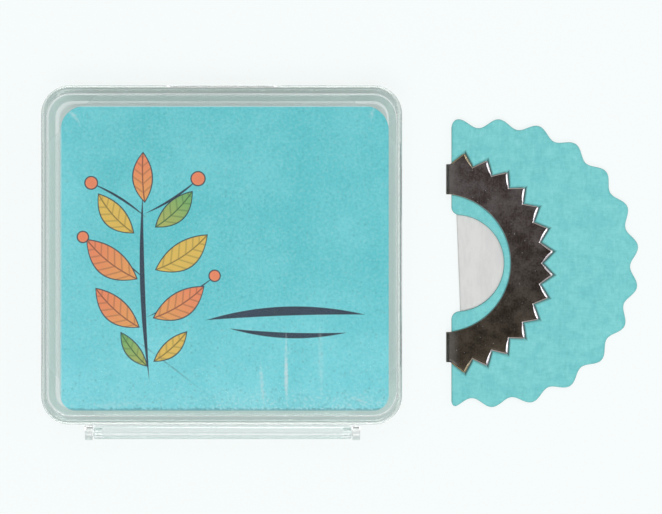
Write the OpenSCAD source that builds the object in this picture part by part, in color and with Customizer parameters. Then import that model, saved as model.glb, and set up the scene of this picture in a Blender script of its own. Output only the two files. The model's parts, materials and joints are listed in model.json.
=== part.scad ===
// Mouth bird call with its hinged clear pocket case, closed, lying side by side.
// The case hinges at its back (-Y). The call lies to its right (+X). Z = 0 is the table.

/* [Case] */
// Width of the closed case, along the hinge
case_w = 52.3; // [46:0.1:70]
// Depth of the closed case, from its front to its back wall
case_d = 49.2; // [44:0.2:70]
// Height of the base, up to the parting line
base_h = 5; // [4:0.1:8]
// Height of the lid, from the parting line up
lid_h = 5; // [4:0.1:8]
// Outside corner radius, seen from above
corner_r = 4.3; // [3.6:0.1:4.8]
// Thickness of the base's floor
floor_t = 1; // [0.8:0.1:1.4]
// Thickness of the lid's top
lid_top_t = 1; // [0.8:0.1:1.4]
// Thickness of the lid's left and right walls
side_wall_t = 0.9; // [0.7:0.05:1.2]
// Thickness of the lid's front and back walls
end_wall_t = 1.3; // [1:0.05:1.6]
// How far each half narrows from the parting line to its flat face
draft_in = 0.12; // [0.05:0.01:0.25]
// Radius of the rounded edge round the lid's top
lid_edge_r = 0.8; // [0.4:0.05:1]
// Radius of the rounded edge round the base's underside
base_edge_r = 0.6; // [0.4:0.05:1]
// Gap between the rims of the closed halves
parting_gap = 0.06; // [0.04:0.01:0.12]

/* [Nesting lip and snap] */
// Height of the lip that the base pushes up into the lid
lip_h = 1.8; // [1.4:0.1:2.4]
// Thickness of the lip at the left and right
lip_side_t = 1; // [0.7:0.05:1.2]
// Thickness of the lip at the front and back
lip_end_t = 0.9; // [0.6:0.05:1.2]
// Clearance between the lip and the lid's walls
lip_gap = 0.1; // [0.1:0.01:0.2]
// Length of the snap bead along the front
bead_l = 16; // [8:1:24]
// Radius of the snap bead
bead_r = 0.3; // [0.2:0.02:0.34]
// How far the snap bead stands out of the lip
bead_rise = 0.06; // [0.03:0.01:0.07]
// Depth of the groove in the lid that the bead rests in
groove_depth = 0.08; // [0.04:0.01:0.15]
// Width of the fingernail scoop in the base's front wall
scoop_w = 12; // [8:1:20]
// Depth of the fingernail scoop
scoop_depth = 0.5; // [0.3:0.05:0.7]
// Height of the fingernail scoop
scoop_h = 1.4; // [1:0.1:2]

/* [Hinge] */
// Distance from each side of the case to the end of the hinge rail
rail_inset = 7.4; // [6.5:0.1:12]
// Radius of the rail that the pins turn in
rail_r = 0.9; // [0.85:0.05:1.1]
// Radius of the rail's rounded ends
rail_end_r = 0.3; // [0.15:0.05:0.34]
// Gap between the rail and the lid's back wall as it swings
rail_gap = 0.4; // [0.2:0.05:0.45]
// Gap between the lid's ears and the base's back wall
ear_gap = 0.25; // [0.15:0.05:0.3]
// Width of each ear along the hinge
ear_w = 1.1; // [0.7:0.05:1.2]
// Gap between an ear and the end of the rail
ear_side_gap = 0.15; // [0.1:0.05:0.3]
// Radius of the ears' stub pins
pin_r = 0.45; // [0.35:0.05:0.5]
// Length of the stub pins, from the ear
pin_l = 1.2; // [0.8:0.1:2]
// Running clearance round a pin
pin_gap = 0.05; // [0.03:0.01:0.08]
// Room left past the end of a pin
pin_end_gap = 0.2; // [0.1:0.05:0.4]

/* [Title card] */
// Thickness of the card
card_t = 0.35; // [0.2:0.05:0.5]
// Radius of the card's two front corners
card_front_r = 3.5; // [2.4:0.1:4]
// Radius of the card's two back corners
card_back_r = 2.2; // [1.4:0.1:3.5]
// Room between the card and the lid's left wall
card_left = 2; // [1:0.1:2.2]
// Room between the card and the lid's right wall
card_right = 1.15; // [1:0.05:2.2]
// Room between the card and the lid's front wall
card_front = 1.8; // [0.8:0.05:2.2]
// Room between the card and the lid's back wall
card_back = 0.85; // [0.8:0.05:2.2]
// Gap between the card and the lid's top
card_top_gap = 0.05; // [0.03:0.01:0.1]
// Gap between the card and the corner nibs under it
nib_gap = 0.1; // [0.05:0.01:0.15]
// Thickness of the four corner nibs
nib_t = 0.3; // [0.2:0.05:0.5]
// Length of a nib's legs, from the lid's inner corner
nib_leg = 7.2; // [6.8:0.1:9]

/* [Call place] */
// Distance from the case to the call's folded edge
call_gap = 6.55; // [3:0.05:20]
// How far the call's centre line lies behind the case's
call_back = 1.2; // [0:0.1:4]

/* [Metal frame] */
// Thickness of the sheet that the frame is stamped from
plate_t = 0.25; // [0.2:0.01:0.35]
// Inside radius of the frame's half ring
ring_in_r = 10.2; // [9:0.1:11]
// Width of the half ring's band, from its inside to the tooth roots
ring_w = 4.65; // [3.8:0.05:5.4]
// Height of the teeth, from root to tip
tooth_rise = 1.75; // [1:0.05:2]
// Number of teeth on each half
tooth_count = 14; // [8:1:18]
// How far the ring's centre lies outside the fold line
ring_setback = 1.3; // [0.8:0.1:1.8]
// How far the last tooth root lies inside the fold line
root_lead = 0.24; // [0.1:0.02:0.6]
// Step between the last tooth root and the edge of the folded tab
tab_step = 0.22; // [0.1:0.02:0.5]
// Step between the inside of the half ring and the folded tab
tab_in_step = 0.1; // [0.05:0.05:0.4]
// How far the tooth tips are bent down into the skirt
tooth_bend = 0.12; // [0.06:0.01:0.18]
// Width of the sloping edge that the stamping leaves along each tooth
tooth_edge_w = 0.36; // [0.1:0.02:0.36]
// Height of that sloping edge
tooth_edge_h = 0.16; // [0.08:0.01:0.18]

/* [Skirt] */
// Thickness of one layer of the tape skirt
skirt_t = 0.35; // [0.3:0.01:0.5]
// Mean radius of the scalloped edge
skirt_r = 20.5; // [18.5:0.1:24]
// Height of the scallops, from valley to peak
scallop_rise = 1.3; // [0.6:0.1:2]
// Number of scallops that a whole turn would have
scallop_count = 22; // [16:1:30]
// How far the scallops are turned round the skirt, in degrees
scallop_turn = 6.8; // [0:0.1:16]
// How far the straight edge lies inside the fold line
skirt_edge_in = 0.2; // [0.1:0.05:0.5]
// How far the skirt's centre lies inside the fold line
skirt_centre_in = 6.6; // [5:0.1:9]
// Radius of the air mouth
mouth_r = 7.1; // [6:0.1:8]
// How far the mouth's centre lies inside the straight edge
mouth_in = 0.6; // [0.2:0.1:1]
// Radius at which the mouth flares into the straight edge
mouth_flare_r = 1.2; // [0.6:0.1:1.5]

/* [Membrane] */
// Thickness of the vibrating membrane
film_t = 0.1; // [0.06:0.02:0.16]
// Width of the membrane, from its free edge inwards
film_w = 10.1; // [9:0.1:11]
// Length of the membrane, across the call
film_l = 34; // [28:0.5:35]
// How far the middle of the free edge lies inside the fold line
film_in = 1.2; // [0.8:0.1:1.6]
// Tilt of the free edge, in degrees
film_tilt = 2.2; // [0:0.1:3]
// Clearance round the membrane and the frame in the skirt's recesses
recess_gap = 0.02; // [0.01:0.01:0.04]

/* [Hidden] */
$fn = 96;
// Overrun of every cut past the face that it opens
over = 1;
// Facets along a rounded edge, a scallop, the mouth and its flares
edge_steps = 6;
scallop_steps = 10;
mouth_steps = 30;
flare_steps = 6;

case_h = base_h + lid_h;
half_w = case_w / 2;
half_d = case_d / 2;

// Half sizes and corner radii of the lid's inside, the lip and the base's inside
lid_in = [half_w - side_wall_t, half_d - end_wall_t];
lid_in_r = corner_r - side_wall_t;
lip_out = lid_in - [lip_gap, lip_gap];
lip_out_r = lid_in_r - lip_gap;
base_in = lip_out - [lip_side_t, lip_end_t];
base_in_r = lip_out_r - lip_side_t;
lid_inside_z = case_h - lid_top_t;
bead_z = base_h + lip_h / 2;

// The hinge axis runs along X at the height of the parting line
hinge_back = rail_r + rail_gap;
hinge_y = -half_d - hinge_back;
rail_half_l = half_w - rail_inset;
ear_r = hinge_back - ear_gap;
ear_in_x = rail_half_l + ear_side_gap;
bore_r = pin_r + pin_gap;
bore_depth = pin_l - ear_side_gap + pin_end_gap;

card_low = [card_left - lid_in.x, card_back - lid_in.y];
card_high = [lid_in.x - card_right, lid_in.y - card_front];
card_z = lid_inside_z - card_top_gap - card_t;
nib_z = card_z - nib_gap - nib_t;

// The call is symmetric about its middle plane, at half of its thickness
stack_h = 2 * (plate_t + skirt_t);
fold_r = stack_h / 2;
fold_x = half_w + call_gap + fold_r;
ring_x = fold_x - ring_setback;
ring_root_r = ring_in_r + ring_w;
tab_in_y = ring_in_r + tab_in_step;
root_y = sqrt(pow(ring_root_r, 2) - pow(ring_setback + root_lead, 2));
tab_out_y = root_y - tab_step;
tooth_fan = 2 * acos((ring_setback + root_lead) / ring_root_r);
tooth_pitch = tooth_fan / tooth_count;
// A tooth stands on the chord between two roots
chord_x = ring_root_r * cos(tooth_pitch / 2);
chord_half = ring_root_r * sin(tooth_pitch / 2);
tooth_l = ring_root_r + tooth_rise - chord_x;
flank_l = norm([tooth_l, chord_half]);
plate_z = stack_h - plate_t;

skirt_edge_x = fold_x + skirt_edge_in;
skirt_x = fold_x + skirt_centre_in;
mouth_x = skirt_edge_x + mouth_in;
flare_x = skirt_edge_x + mouth_flare_r;
flare_y = sqrt(pow(mouth_r + mouth_flare_r, 2) - pow(flare_x - mouth_x, 2));
flare_end = atan2(flare_y, flare_x - mouth_x);
film_z = fold_r - film_t / 2;

// Points along an arc about a centre, from one angle to another
function arc(centre, r, from, to, steps) =
    [for (i = [0:steps]) let (a = from + (to - from) * i / steps) centre + r * [cos(a), sin(a)]];

// Cross-section of the lid's rim, from the corner's axis outwards
function lid_edge_points() = concat(
    [[0, base_h + parting_gap], [corner_r, base_h + parting_gap]],
    arc([corner_r - draft_in - lid_edge_r, case_h - lid_edge_r], lid_edge_r, 0, 90, edge_steps),
    [[0, case_h]]
);

// Cross-section of the base's rim, from the corner's axis outwards
function base_edge_points() = concat(
    [[0, 0]],
    arc([corner_r - draft_in - base_edge_r, base_edge_r], base_edge_r, -90, 0, edge_steps),
    [[corner_r, base_h], [0, base_h]]
);

// The frame's flat band up to the tooth roots, from the fold line round to the fold line
function band_points() = concat(
    [[ring_setback, -tab_out_y]],
    arc([0, 0], ring_root_r, -tooth_fan / 2, tooth_fan / 2, tooth_count),
    [[ring_setback, tab_out_y]]
);

// The scalloped edge swings as a cosine about half a circle, and past it about straight shoulders
function scallop_points() = let (
    step = 360 / (scallop_count * scallop_steps),
    shoulder = (skirt_centre_in + over) / skirt_r * 180 / PI,
    last = ceil((90 + shoulder) / step)
) [
    for (i = [-last:last])
        let (a = i * step, bent = min(max(a, -90), 90))
            (skirt_r + scallop_rise / 2 * cos(scallop_count * (a - scallop_turn)))
                * [cos(bent), sin(bent)] - [skirt_r * abs(a - bent) * PI / 180, 0]
];

// The air mouth: most of a circle, flared by an arc at each end into the straight edge
function mouth_points() = concat(
    [[skirt_edge_x - over, flare_y]],
    arc([flare_x, flare_y], mouth_flare_r, 180, 180 + flare_end, flare_steps),
    arc([mouth_x, 0], mouth_r, flare_end, -flare_end, mouth_steps),
    arc([flare_x, -flare_y], mouth_flare_r, 180 - flare_end, 180, flare_steps),
    [[skirt_edge_x - over, -flare_y]]
);

// A rounded rectangle given by its half sizes and its corner radius
module rounded_rect(half, r) {
    square([2 * (half.x - r), 2 * half.y], center = true);
    square([2 * half.x, 2 * (half.y - r)], center = true);
    for (x = [-1, 1], y = [-1, 1])
        translate([x * (half.x - r), y * (half.y - r)]) circle(r);
}

// A block with the case's outline, its edge given by a cross-section carried round it
module case_block(edge_points, low, high) {
    run = [half_w - corner_r, half_d - corner_r];
    translate([-run.x, -run.y, low]) cube([2 * run.x, 2 * run.y, high - low]);
    for (side = [0:3]) {
        out = side % 2 == 0 ? run.x : run.y;
        along = side % 2 == 0 ? run.y : run.x;
        rotate(90 * side) translate([out, along, 0]) {
            rotate_extrude(angle = 90) polygon(edge_points);
            rotate([90, 0, 0]) linear_extrude(2 * along) polygon(edge_points);
        }
    }
}

// A cylinder lying along X, from one X to another
module rod_x(from, to, r) {
    translate([from, 0, 0]) rotate([0, 90, 0]) cylinder(h = to - from, r = r);
}

// The rail at the back of the base, with rounded ends, and the web that carries it
module hinge_rail() {
    end_centre = rail_half_l - rail_end_r;
    translate([0, hinge_y, base_h]) rotate([0, 90, 0]) rotate_extrude()
        polygon(concat(
            [[0, -rail_half_l]],
            arc([rail_r - rail_end_r, -end_centre], rail_end_r, -90, 0, edge_steps),
            arc([rail_r - rail_end_r, end_centre], rail_end_r, 0, 90, edge_steps),
            [[0, rail_half_l]]
        ));
    translate([-end_centre, hinge_y, base_h - rail_r])
        cube([2 * end_centre, hinge_back + end_wall_t / 2, rail_r]);
}

// One blind bore at the right end of the rail
module pin_bore() {
    translate([0, hinge_y, base_h]) rod_x(rail_half_l - bore_depth, rail_half_l + over, bore_r);
}

// The lid's right ear: a round lobe, its web to the back wall and its stub pin
module hinge_ear() {
    translate([0, hinge_y, base_h]) {
        rod_x(ear_in_x, ear_in_x + ear_w, ear_r);
        rod_x(ear_in_x - pin_l, ear_in_x + ear_w / 2, pin_r);
        translate([ear_in_x, 0, parting_gap])
            cube([ear_w, hinge_back + end_wall_t / 2, ear_r - parting_gap]);
    }
}

// A scoop under the lid's front edge that lets a fingernail in
module nail_scoop() {
    scoop_r = (pow(scoop_w / 2, 2) + pow(scoop_depth, 2)) / (2 * scoop_depth);
    translate([0, half_d - scoop_depth + scoop_r, base_h - scoop_h])
        cylinder(h = scoop_h + over, r = scoop_r);
}

// The line of the snap along the front of the lip, as a rod of any radius
module snap_line(l, r) {
    translate([0, lip_out.y + bead_rise - bead_r, bead_z]) rod_x(-l / 2, l / 2, r);
}

// A flat shelf across one inside corner of the lid, under the card, rooted in the middle of the walls
module corner_nib(x, y) {
    root = side_wall_t / 2;
    reach = lid_in + [root, root];
    leg = nib_leg + 2 * root;
    translate([0, 0, nib_z]) linear_extrude(nib_t) intersection() {
        rounded_rect(reach, lid_in_r + root);
        polygon([
            [x * reach.x, y * reach.y],
            [x * (reach.x - leg), y * reach.y],
            [x * reach.x, y * (reach.y - leg)]
        ]);
    }
}

module case_base() color([0.82, 0.89, 0.87, 0.45]) {
    difference() {
        union() {
            case_block(base_edge_points(), 0, base_h);
            linear_extrude(base_h + lip_h) rounded_rect(lip_out, lip_out_r);
            snap_line(bead_l, bead_r);
            hinge_rail();
        }
        translate([0, 0, floor_t]) linear_extrude(case_h) rounded_rect(base_in, base_in_r);
        for (side = [0, 1]) mirror([side, 0, 0]) pin_bore();
        nail_scoop();
    }
}

module case_lid() color([0.84, 0.91, 0.89, 0.4]) {
    difference() {
        case_block(lid_edge_points(), base_h + parting_gap, case_h);
        linear_extrude(lid_inside_z) rounded_rect(lid_in, lid_in_r);
        snap_line(bead_l + 2 * lip_gap, bead_r - bead_rise + lip_gap + groove_depth);
    }
    for (x = [-1, 1], y = [-1, 1]) corner_nib(x, y);
    for (side = [0, 1]) mirror([side, 0, 0]) hinge_ear();
}

// The card's outline about its own middle, with rounder corners at the front than at the back
module card_outline(half) {
    translate([-half.x, card_back_r - half.y])
        square([2 * half.x, 2 * half.y - card_back_r - card_front_r]);
    for (side = [-1, 1]) {
        r = side < 0 ? card_back_r : card_front_r;
        translate([r - half.x, min(side, 0) * half.y]) square([2 * (half.x - r), half.y]);
        for (x = [-1, 1]) translate([x * (half.x - r), side * (half.y - r)]) circle(r);
    }
}

module title_card() color([0.44, 0.8, 0.8]) {
    half = (card_high - card_low) / 2;
    middle = (card_high + card_low) / 2;
    translate([middle.x, middle.y, card_z]) linear_extrude(card_t) card_outline(half);
}

// Places the call's shapes, drawn about their own centre line, beside the case
module call_place() {
    translate([0, -call_back, 0]) children();
}

// Draws the upper half of the call again as its lower half
module turned_over() {
    translate([0, 0, stack_h]) mirror([0, 0, 1]) children();
}

// The flat band of the frame's upper half, grown by a gap
module flat_band(gap, high) {
    translate([ring_x, 0, plate_z - gap]) linear_extrude(high) difference() {
        polygon(band_points() * (1 + gap / ring_root_r));
        circle(ring_in_r - gap);
    }
}

// Places a shape at the root of each tooth, bent down towards the skirt
module each_tooth() {
    for (i = [0:tooth_count - 1])
        translate([ring_x, 0, stack_h]) rotate((i - (tooth_count - 1) / 2) * tooth_pitch)
            translate([chord_x, 0, 0]) rotate([0, asin(tooth_bend / tooth_l), 0]) children();
}

// One tooth's triangle, its flanks moved out by a gap
module tooth_outline(gap) {
    half = chord_half + gap * flank_l / tooth_l;
    polygon([[0, -half], [tooth_l + gap * flank_l / chord_half, 0], [0, half]]);
}

// One tooth, with its top face at Z = 0 and both flanks sloped off
module bevelled_tooth() {
    reach = flank_l + over;
    difference() {
        translate([0, 0, -plate_t]) linear_extrude(plate_t) tooth_outline(0);
        for (side = [0, 1]) mirror([0, side, 0]) translate([0, chord_half, -tooth_edge_h])
            rotate([0, 0, atan2(tooth_l, chord_half)])
                rotate([0, atan(tooth_edge_h / tooth_edge_w), 0])
                    translate([-reach, -reach, 0]) cube([2 * reach, 2 * reach, reach]);
    }
}

// The space that one half of the frame takes up from its underside outwards
module frame_seat() {
    flat_band(recess_gap, stack_h);
    each_tooth() translate([0, 0, -plate_t - recess_gap]) linear_extrude(stack_h)
        tooth_outline(recess_gap);
}

// The folded tab at the +Y end, which joins the two halves round the skirt's edge
module folded_tab() {
    translate([fold_x, tab_out_y, fold_r]) rotate([90, 0, 0]) linear_extrude(tab_out_y - tab_in_y)
        difference() {
            circle(fold_r);
            circle(fold_r - plate_t);
            translate([0, -stack_h]) square(2 * stack_h);
        }
}

// One half of the folded stamping
module half_frame() {
    flat_band(0, plate_t);
    each_tooth() bevelled_tooth();
}

module reed_frame() color([0.3, 0.28, 0.26]) call_place() {
    half_frame();
    turned_over() half_frame();
    for (side = [0, 1]) mirror([0, side, 0]) folded_tab();
}

// The membrane's outline, grown by a gap for the recess that it lies in
module film_outline(gap) {
    translate([fold_x + film_in + film_w / 2, 0])
        rotate(film_tilt) square([film_w + 2 * gap, film_l + 2 * gap], center = true);
}

// One layer of the skirt, with the recesses that the frame and the membrane press into it
module skirt_layer() {
    difference() {
        translate([0, 0, fold_r]) linear_extrude(skirt_t) difference() {
            intersection() {
                translate([skirt_x, 0]) polygon(scallop_points());
                translate([skirt_edge_x, -2 * skirt_r]) square(4 * skirt_r);
            }
            polygon(mouth_points());
        }
        frame_seat();
        translate([0, 0, film_z - recess_gap]) linear_extrude(film_t + 2 * recess_gap)
            film_outline(recess_gap);
    }
}

module skirt_upper() color([0.48, 0.81, 0.81]) call_place() skirt_layer();

module skirt_lower() color([0.45, 0.78, 0.79]) call_place() turned_over() skirt_layer();

module reed_membrane() color([0.84, 0.84, 0.83, 0.7]) call_place()
    translate([0, 0, film_z]) linear_extrude(film_t) film_outline(0);

case_base();
case_lid();
title_card();
reed_frame();
skirt_upper();
skirt_lower();
reed_membrane();
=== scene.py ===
# A mouth bird call and its clear pocket case: moulded plastic, a printed card, metal, tape and film.
import json
import math
from collections import namedtuple

import bmesh
import bpy
import numpy as np
from bpy.props import FloatProperty, FloatVectorProperty, IntProperty, PointerProperty
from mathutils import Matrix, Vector


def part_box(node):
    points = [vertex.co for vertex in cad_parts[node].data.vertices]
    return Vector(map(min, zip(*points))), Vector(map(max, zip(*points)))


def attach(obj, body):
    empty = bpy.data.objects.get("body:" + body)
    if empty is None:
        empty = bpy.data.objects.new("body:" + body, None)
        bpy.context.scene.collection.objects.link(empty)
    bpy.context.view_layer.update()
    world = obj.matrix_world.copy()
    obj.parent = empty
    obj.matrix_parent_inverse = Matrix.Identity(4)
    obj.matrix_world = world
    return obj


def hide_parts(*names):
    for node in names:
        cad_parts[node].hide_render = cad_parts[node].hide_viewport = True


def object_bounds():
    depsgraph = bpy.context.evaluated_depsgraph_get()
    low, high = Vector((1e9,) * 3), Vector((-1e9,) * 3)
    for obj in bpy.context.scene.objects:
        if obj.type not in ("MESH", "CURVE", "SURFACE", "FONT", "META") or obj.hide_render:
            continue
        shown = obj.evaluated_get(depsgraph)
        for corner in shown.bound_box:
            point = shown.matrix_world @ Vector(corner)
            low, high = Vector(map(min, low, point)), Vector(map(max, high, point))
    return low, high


bl_info = {
    "name": "Mouth Bird Call",
    "version": (1, 0, 0),
    "blender": (4, 5, 0),
    "location": "View3D > Sidebar > Bird Call",
    "description": "Makes the visible pieces of a mouth bird call and its clear pocket case",
    "category": "Add Mesh",
}

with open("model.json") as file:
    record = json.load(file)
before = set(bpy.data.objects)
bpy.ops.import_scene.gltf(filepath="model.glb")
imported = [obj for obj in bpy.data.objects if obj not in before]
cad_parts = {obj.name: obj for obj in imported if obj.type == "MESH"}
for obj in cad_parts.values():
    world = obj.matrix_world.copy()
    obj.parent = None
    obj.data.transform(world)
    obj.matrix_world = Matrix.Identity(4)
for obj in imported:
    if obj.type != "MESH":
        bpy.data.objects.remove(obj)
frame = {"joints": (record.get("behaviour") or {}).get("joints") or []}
CAD_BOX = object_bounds()
MM = 0.001

BASE_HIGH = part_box("case_base")[1]
LID_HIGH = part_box("case_lid")[1]
CARD_LOW, CARD_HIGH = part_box("title_card")
METAL_LOW, METAL_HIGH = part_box("reed_frame")
SKIRT_LOW, SKIRT_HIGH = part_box("skirt_upper")
FILM_LOW, FILM_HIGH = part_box("reed_membrane")
HINGE = Vector(next(j["pos_m"] for j in frame["joints"] if j["name"] == "lid_hinge"))

# The case's outer half sizes, and the height at which its two halves part
HALF_X, HALF_Y, PARTING = BASE_HIGH.x, BASE_HIGH.y, HINGE.z
# The call's middle plane, its centre line and the line that its frame is folded about
MIDDLE_Z = (METAL_LOW.z + METAL_HIGH.z) / 2
CENTRE_Y = (METAL_LOW.y + METAL_HIGH.y) / 2
FOLD_X = METAL_LOW.x + MIDDLE_Z


def length(name, description, default):
    """A size in metres that a user can change."""
    return FloatProperty(name=name, description=description, default=default, unit="LENGTH", precision=5)


def degrees(name, description, default):
    """An angle that a user can change, its default given in degrees."""
    return FloatProperty(name=name, description=description, default=math.radians(default), subtype="ANGLE")


def number(name, description, default):
    """A plain number that a user can change."""
    return FloatProperty(name=name, description=description, default=default)


def fraction(name, description, default):
    """A share from 0 to 1 that a user can change."""
    return FloatProperty(name=name, description=description, default=default, subtype="FACTOR", min=0, max=1)


def watts(name, description, default):
    """A lamp's power that a user can change."""
    return FloatProperty(name=name, description=description, default=default, unit="POWER")


def colour(name, description, default):
    """A colour that a user can change."""
    return FloatVectorProperty(
        name=name, description=description, default=default, subtype="COLOR", size=3, min=0, max=1
    )


class CaseSettings(bpy.types.PropertyGroup):
    """Sizes and finish of the clear case"""

    corner_r: length("Corner radius", "Outside corner radius, seen from above", 4.3 * MM)
    side_wall: length("Side wall", "Thickness of the lid's left and right walls", 0.9 * MM)
    end_wall: length("End wall", "Thickness of the lid's front and back walls", 1.3 * MM)
    plate: length("Plate", "Thickness of the lid's top and of the base's floor", 1.0 * MM)
    lip_side: length("Lip side", "Thickness of the nesting lip at the left and right", 1.0 * MM)
    lip_end: length("Lip end", "Thickness of the nesting lip at the front and back", 0.9 * MM)
    lip_gap: length("Lip gap", "Clearance between the lip and the lid's walls", 0.1 * MM)
    parting_gap: length("Parting gap", "Gap between the rims of the closed halves", 0.06 * MM)
    top_edge: length("Top edge", "Radius of the rounded edge round the lid's top", 0.8 * MM)
    foot_edge: length("Foot edge", "Radius of the rounded edge round the underside", 0.6 * MM)
    draft: length("Draft", "How far each half narrows towards its flat face", 0.12 * MM)
    base_tint: colour("Base tint", "What colour the base takes on through its depth", (0.30, 0.70, 0.61))
    lid_tint: colour("Lid tint", "What colour the lid takes on through its depth", (0.56, 0.46, 0.44))
    base_murk: number("Base murk", "How strongly the base darkens, per metre", 46)
    lid_murk: number("Lid murk", "How strongly the lid darkens, per metre", 68)


class CardSettings(bpy.types.PropertyGroup):
    """Sizes and colours of the printed card"""

    front_r: length("Front radius", "Radius of the card's two front corners", 3.5 * MM)
    back_r: length("Back radius", "Radius of the card's two back corners", 2.2 * MM)
    ground: colour("Ground", "Colour of the printed ground", (0.118, 0.712, 0.77))
    # Pale is painted light: the colour the ground turns to where it is painted as more brightly lit
    pale: colour("Pale", "Colour of the ground towards the hinge", (0.21, 0.83, 0.92))
    # Worn is also the colour of the painted highlights along the front and left edges and of the painted
    # glints
    worn: colour("Worn", "Colour of scuffs and creases", (0.78, 0.90, 0.91))
    board: colour("Board", "Colour of the card's unprinted underside", (0.84, 0.835, 0.80))
    # Ink also paints the shadow line along the card's hinge side
    ink: colour("Ink", "Colour of outlines and of the plain stroke", (0.010, 0.030, 0.062))
    warm: colour("Warm", "Colour of the large leaves", (0.95, 0.27, 0.12))
    sunny: colour("Sunny", "Colour of the small leaves", (0.85, 0.56, 0.10))
    fresh: colour("Fresh", "Colour of the green leaves", (0.18, 0.47, 0.14))


class FrameSettings(bpy.types.PropertyGroup):
    """Sizes and colours of the folded metal frame"""

    inner_r: length("Inner radius", "Inside radius of the half ring", 10.2 * MM)
    width: length("Width", "Width of the half ring, from its inside to the tooth roots", 4.65 * MM)
    rise: length("Rise", "Height of the teeth, from root to tip", 1.75 * MM)
    teeth: IntProperty(name="Teeth", description="Number of teeth on each half", default=14, min=4, max=24)
    setback: length("Setback", "How far the ring's centre lies outside the fold line", 1.3 * MM)
    root_lead: length("Root lead", "How far the last root lies inside the fold line", 0.24 * MM)
    plate: length("Plate", "Thickness of the metal sheet", 0.25 * MM)
    bend: length("Bend", "How far the tooth tips are bent down into the tape", 0.12 * MM)
    slope_w: length("Slope width", "Width of the pressed edge along each tooth", 0.36 * MM)
    slope_h: length("Slope height", "Height of the pressed edge along each tooth", 0.16 * MM)
    dark: colour("Dark", "Darkest tone of the tarnish at the front", (0.040, 0.030, 0.027))
    light: colour("Light", "Lightest tone of the tarnish at the front", (0.110, 0.094, 0.094))
    brown_dark: colour("Brown dark", "Darkest tone of the tarnish at the back", (0.018, 0.014, 0.010))
    brown_light: colour("Brown light", "Lightest tone of the tarnish at the back", (0.055, 0.045, 0.033))
    # The tab tone is a painted sheen: lighter metal beside the fold and over the bend, where it would catch
    # the light
    tab: colour("Tab", "Tone of the metal beside the fold", (0.142, 0.135, 0.125))
    # Steel is painted highlight on the flanks that look to the right, over their bare pressed edges; flecks
    # use it too
    steel: colour("Steel", "Bare metal on the flanks that look to the right", (0.88, 0.85, 0.90))
    # Dull is painted highlight on the other flanks, over their bare pressed edges
    dull: colour("Dull", "Bare metal on the other flanks", (0.95, 0.86, 0.80))
    # Gold glint is a painted reflection on the edges of the teeth next to the fold
    gold_glint: colour("Straw", "Heat tint on the edges near the fold", (0.62, 0.50, 0.22))


class SkirtSettings(bpy.types.PropertyGroup):
    """Sizes and colours of the tape skirt"""

    outer_r: length("Outer radius", "Mean radius of the scalloped edge", 20.5 * MM)
    rise: length("Rise", "Height of the scallops, from valley to peak", 1.3 * MM)
    scallops: IntProperty(name="Scallops", description="Scallops in a whole turn", default=22, min=8, max=40)
    turned: degrees("Turned", "How far the scallops are turned", 6.8)
    centre_in: length("Centre in", "How far the skirt's centre lies inside the fold line", 6.6 * MM)
    mouth_r: length("Mouth radius", "Radius of the air mouth", 7.1 * MM)
    mouth_in: length("Mouth in", "How far the mouth's centre lies inside the straight edge", 0.6 * MM)
    flare_r: length("Flare radius", "Radius at which the mouth opens into the straight edge", 1.2 * MM)
    layer: length("Layer", "Thickness of one layer of tape", 0.35 * MM)
    dark: colour("Dark", "Darkest tone of the tape", (0.160, 0.582, 0.597))
    light: colour("Light", "Lightest tone of the tape", (0.216, 0.660, 0.660))
    worn: colour("Worn", "Raised fibres of the tape", (0.50, 0.86, 0.86))
    # Rim is partly painted shade: it darkens the cut edges and the border along them, and it also tints the
    # darker fibres
    rim: colour("Rim", "Cut edge of the tape", (0.09, 0.34, 0.33))
    # Groove is the colour of the painted contact shadow along the metal
    groove: colour("Groove", "Dark line where the metal presses into the tape", (0.030, 0.065, 0.060))


class FilmSettings(bpy.types.PropertyGroup):
    """Size and colours of the membrane"""

    width: length("Width", "Width of the membrane, from its free edge inwards", 10.1 * MM)
    span: length("Span", "Length of the membrane, across the call", 34.0 * MM)
    tilt: degrees("Tilt", "Tilt of the free edge", 2.2)
    thick: length("Thickness", "Thickness of the membrane", 0.1 * MM)
    dark: colour("Dark", "Darkest tone of the film", (0.732, 0.727, 0.712))
    light: colour("Light", "Lightest tone of the film", (0.80, 0.795, 0.772))


class StageSettings(bpy.types.PropertyGroup):
    """Camera, floor and lamps"""

    height: length("Height", "Height of the camera over the table", 450 * MM)
    span: length("Span", "Width of the picture, measured near the table", 96.85 * MM)
    focus_z: length("Focus height", "Height at which that width is measured", 3 * MM)
    left: length("Left", "How far the picture's centre lies left of the object's", 1.6 * MM)
    ahead: length("Ahead", "How far the picture's centre lies in front of the object's", 0.88 * MM)
    floor: colour("Floor", "Colour of the floor", (0.935, 0.98, 0.975))
    glow: fraction("Glow", "Share of the floor's colour that no shadow dims", 0.88)
    glow_inside: fraction("Glow inside", "The same share where the floor shows through plastic", 0.15)
    sky: number("Sky", "Strength of the even light all round", 0.35)
    sky_inside: fraction("Sky inside", "Share of the pale backdrop that is seen through plastic", 0.5)
    key: watts("Key", "Power of the lamp on the hinge side", 4.5)
    fill: watts("Fill", "Power of the lamp across from it", 1.8)
    rim: watts("Rim", "Power of the low lamp at the right", 0.42)


# Points along rounded corners, along straight sides and round edges
CORNER_STEPS = 14
SIDE_STEPS = 90
EDGE_STEPS = 6
LATHE_STEPS = 40
SMOOTH_ANGLE = math.radians(32)


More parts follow.
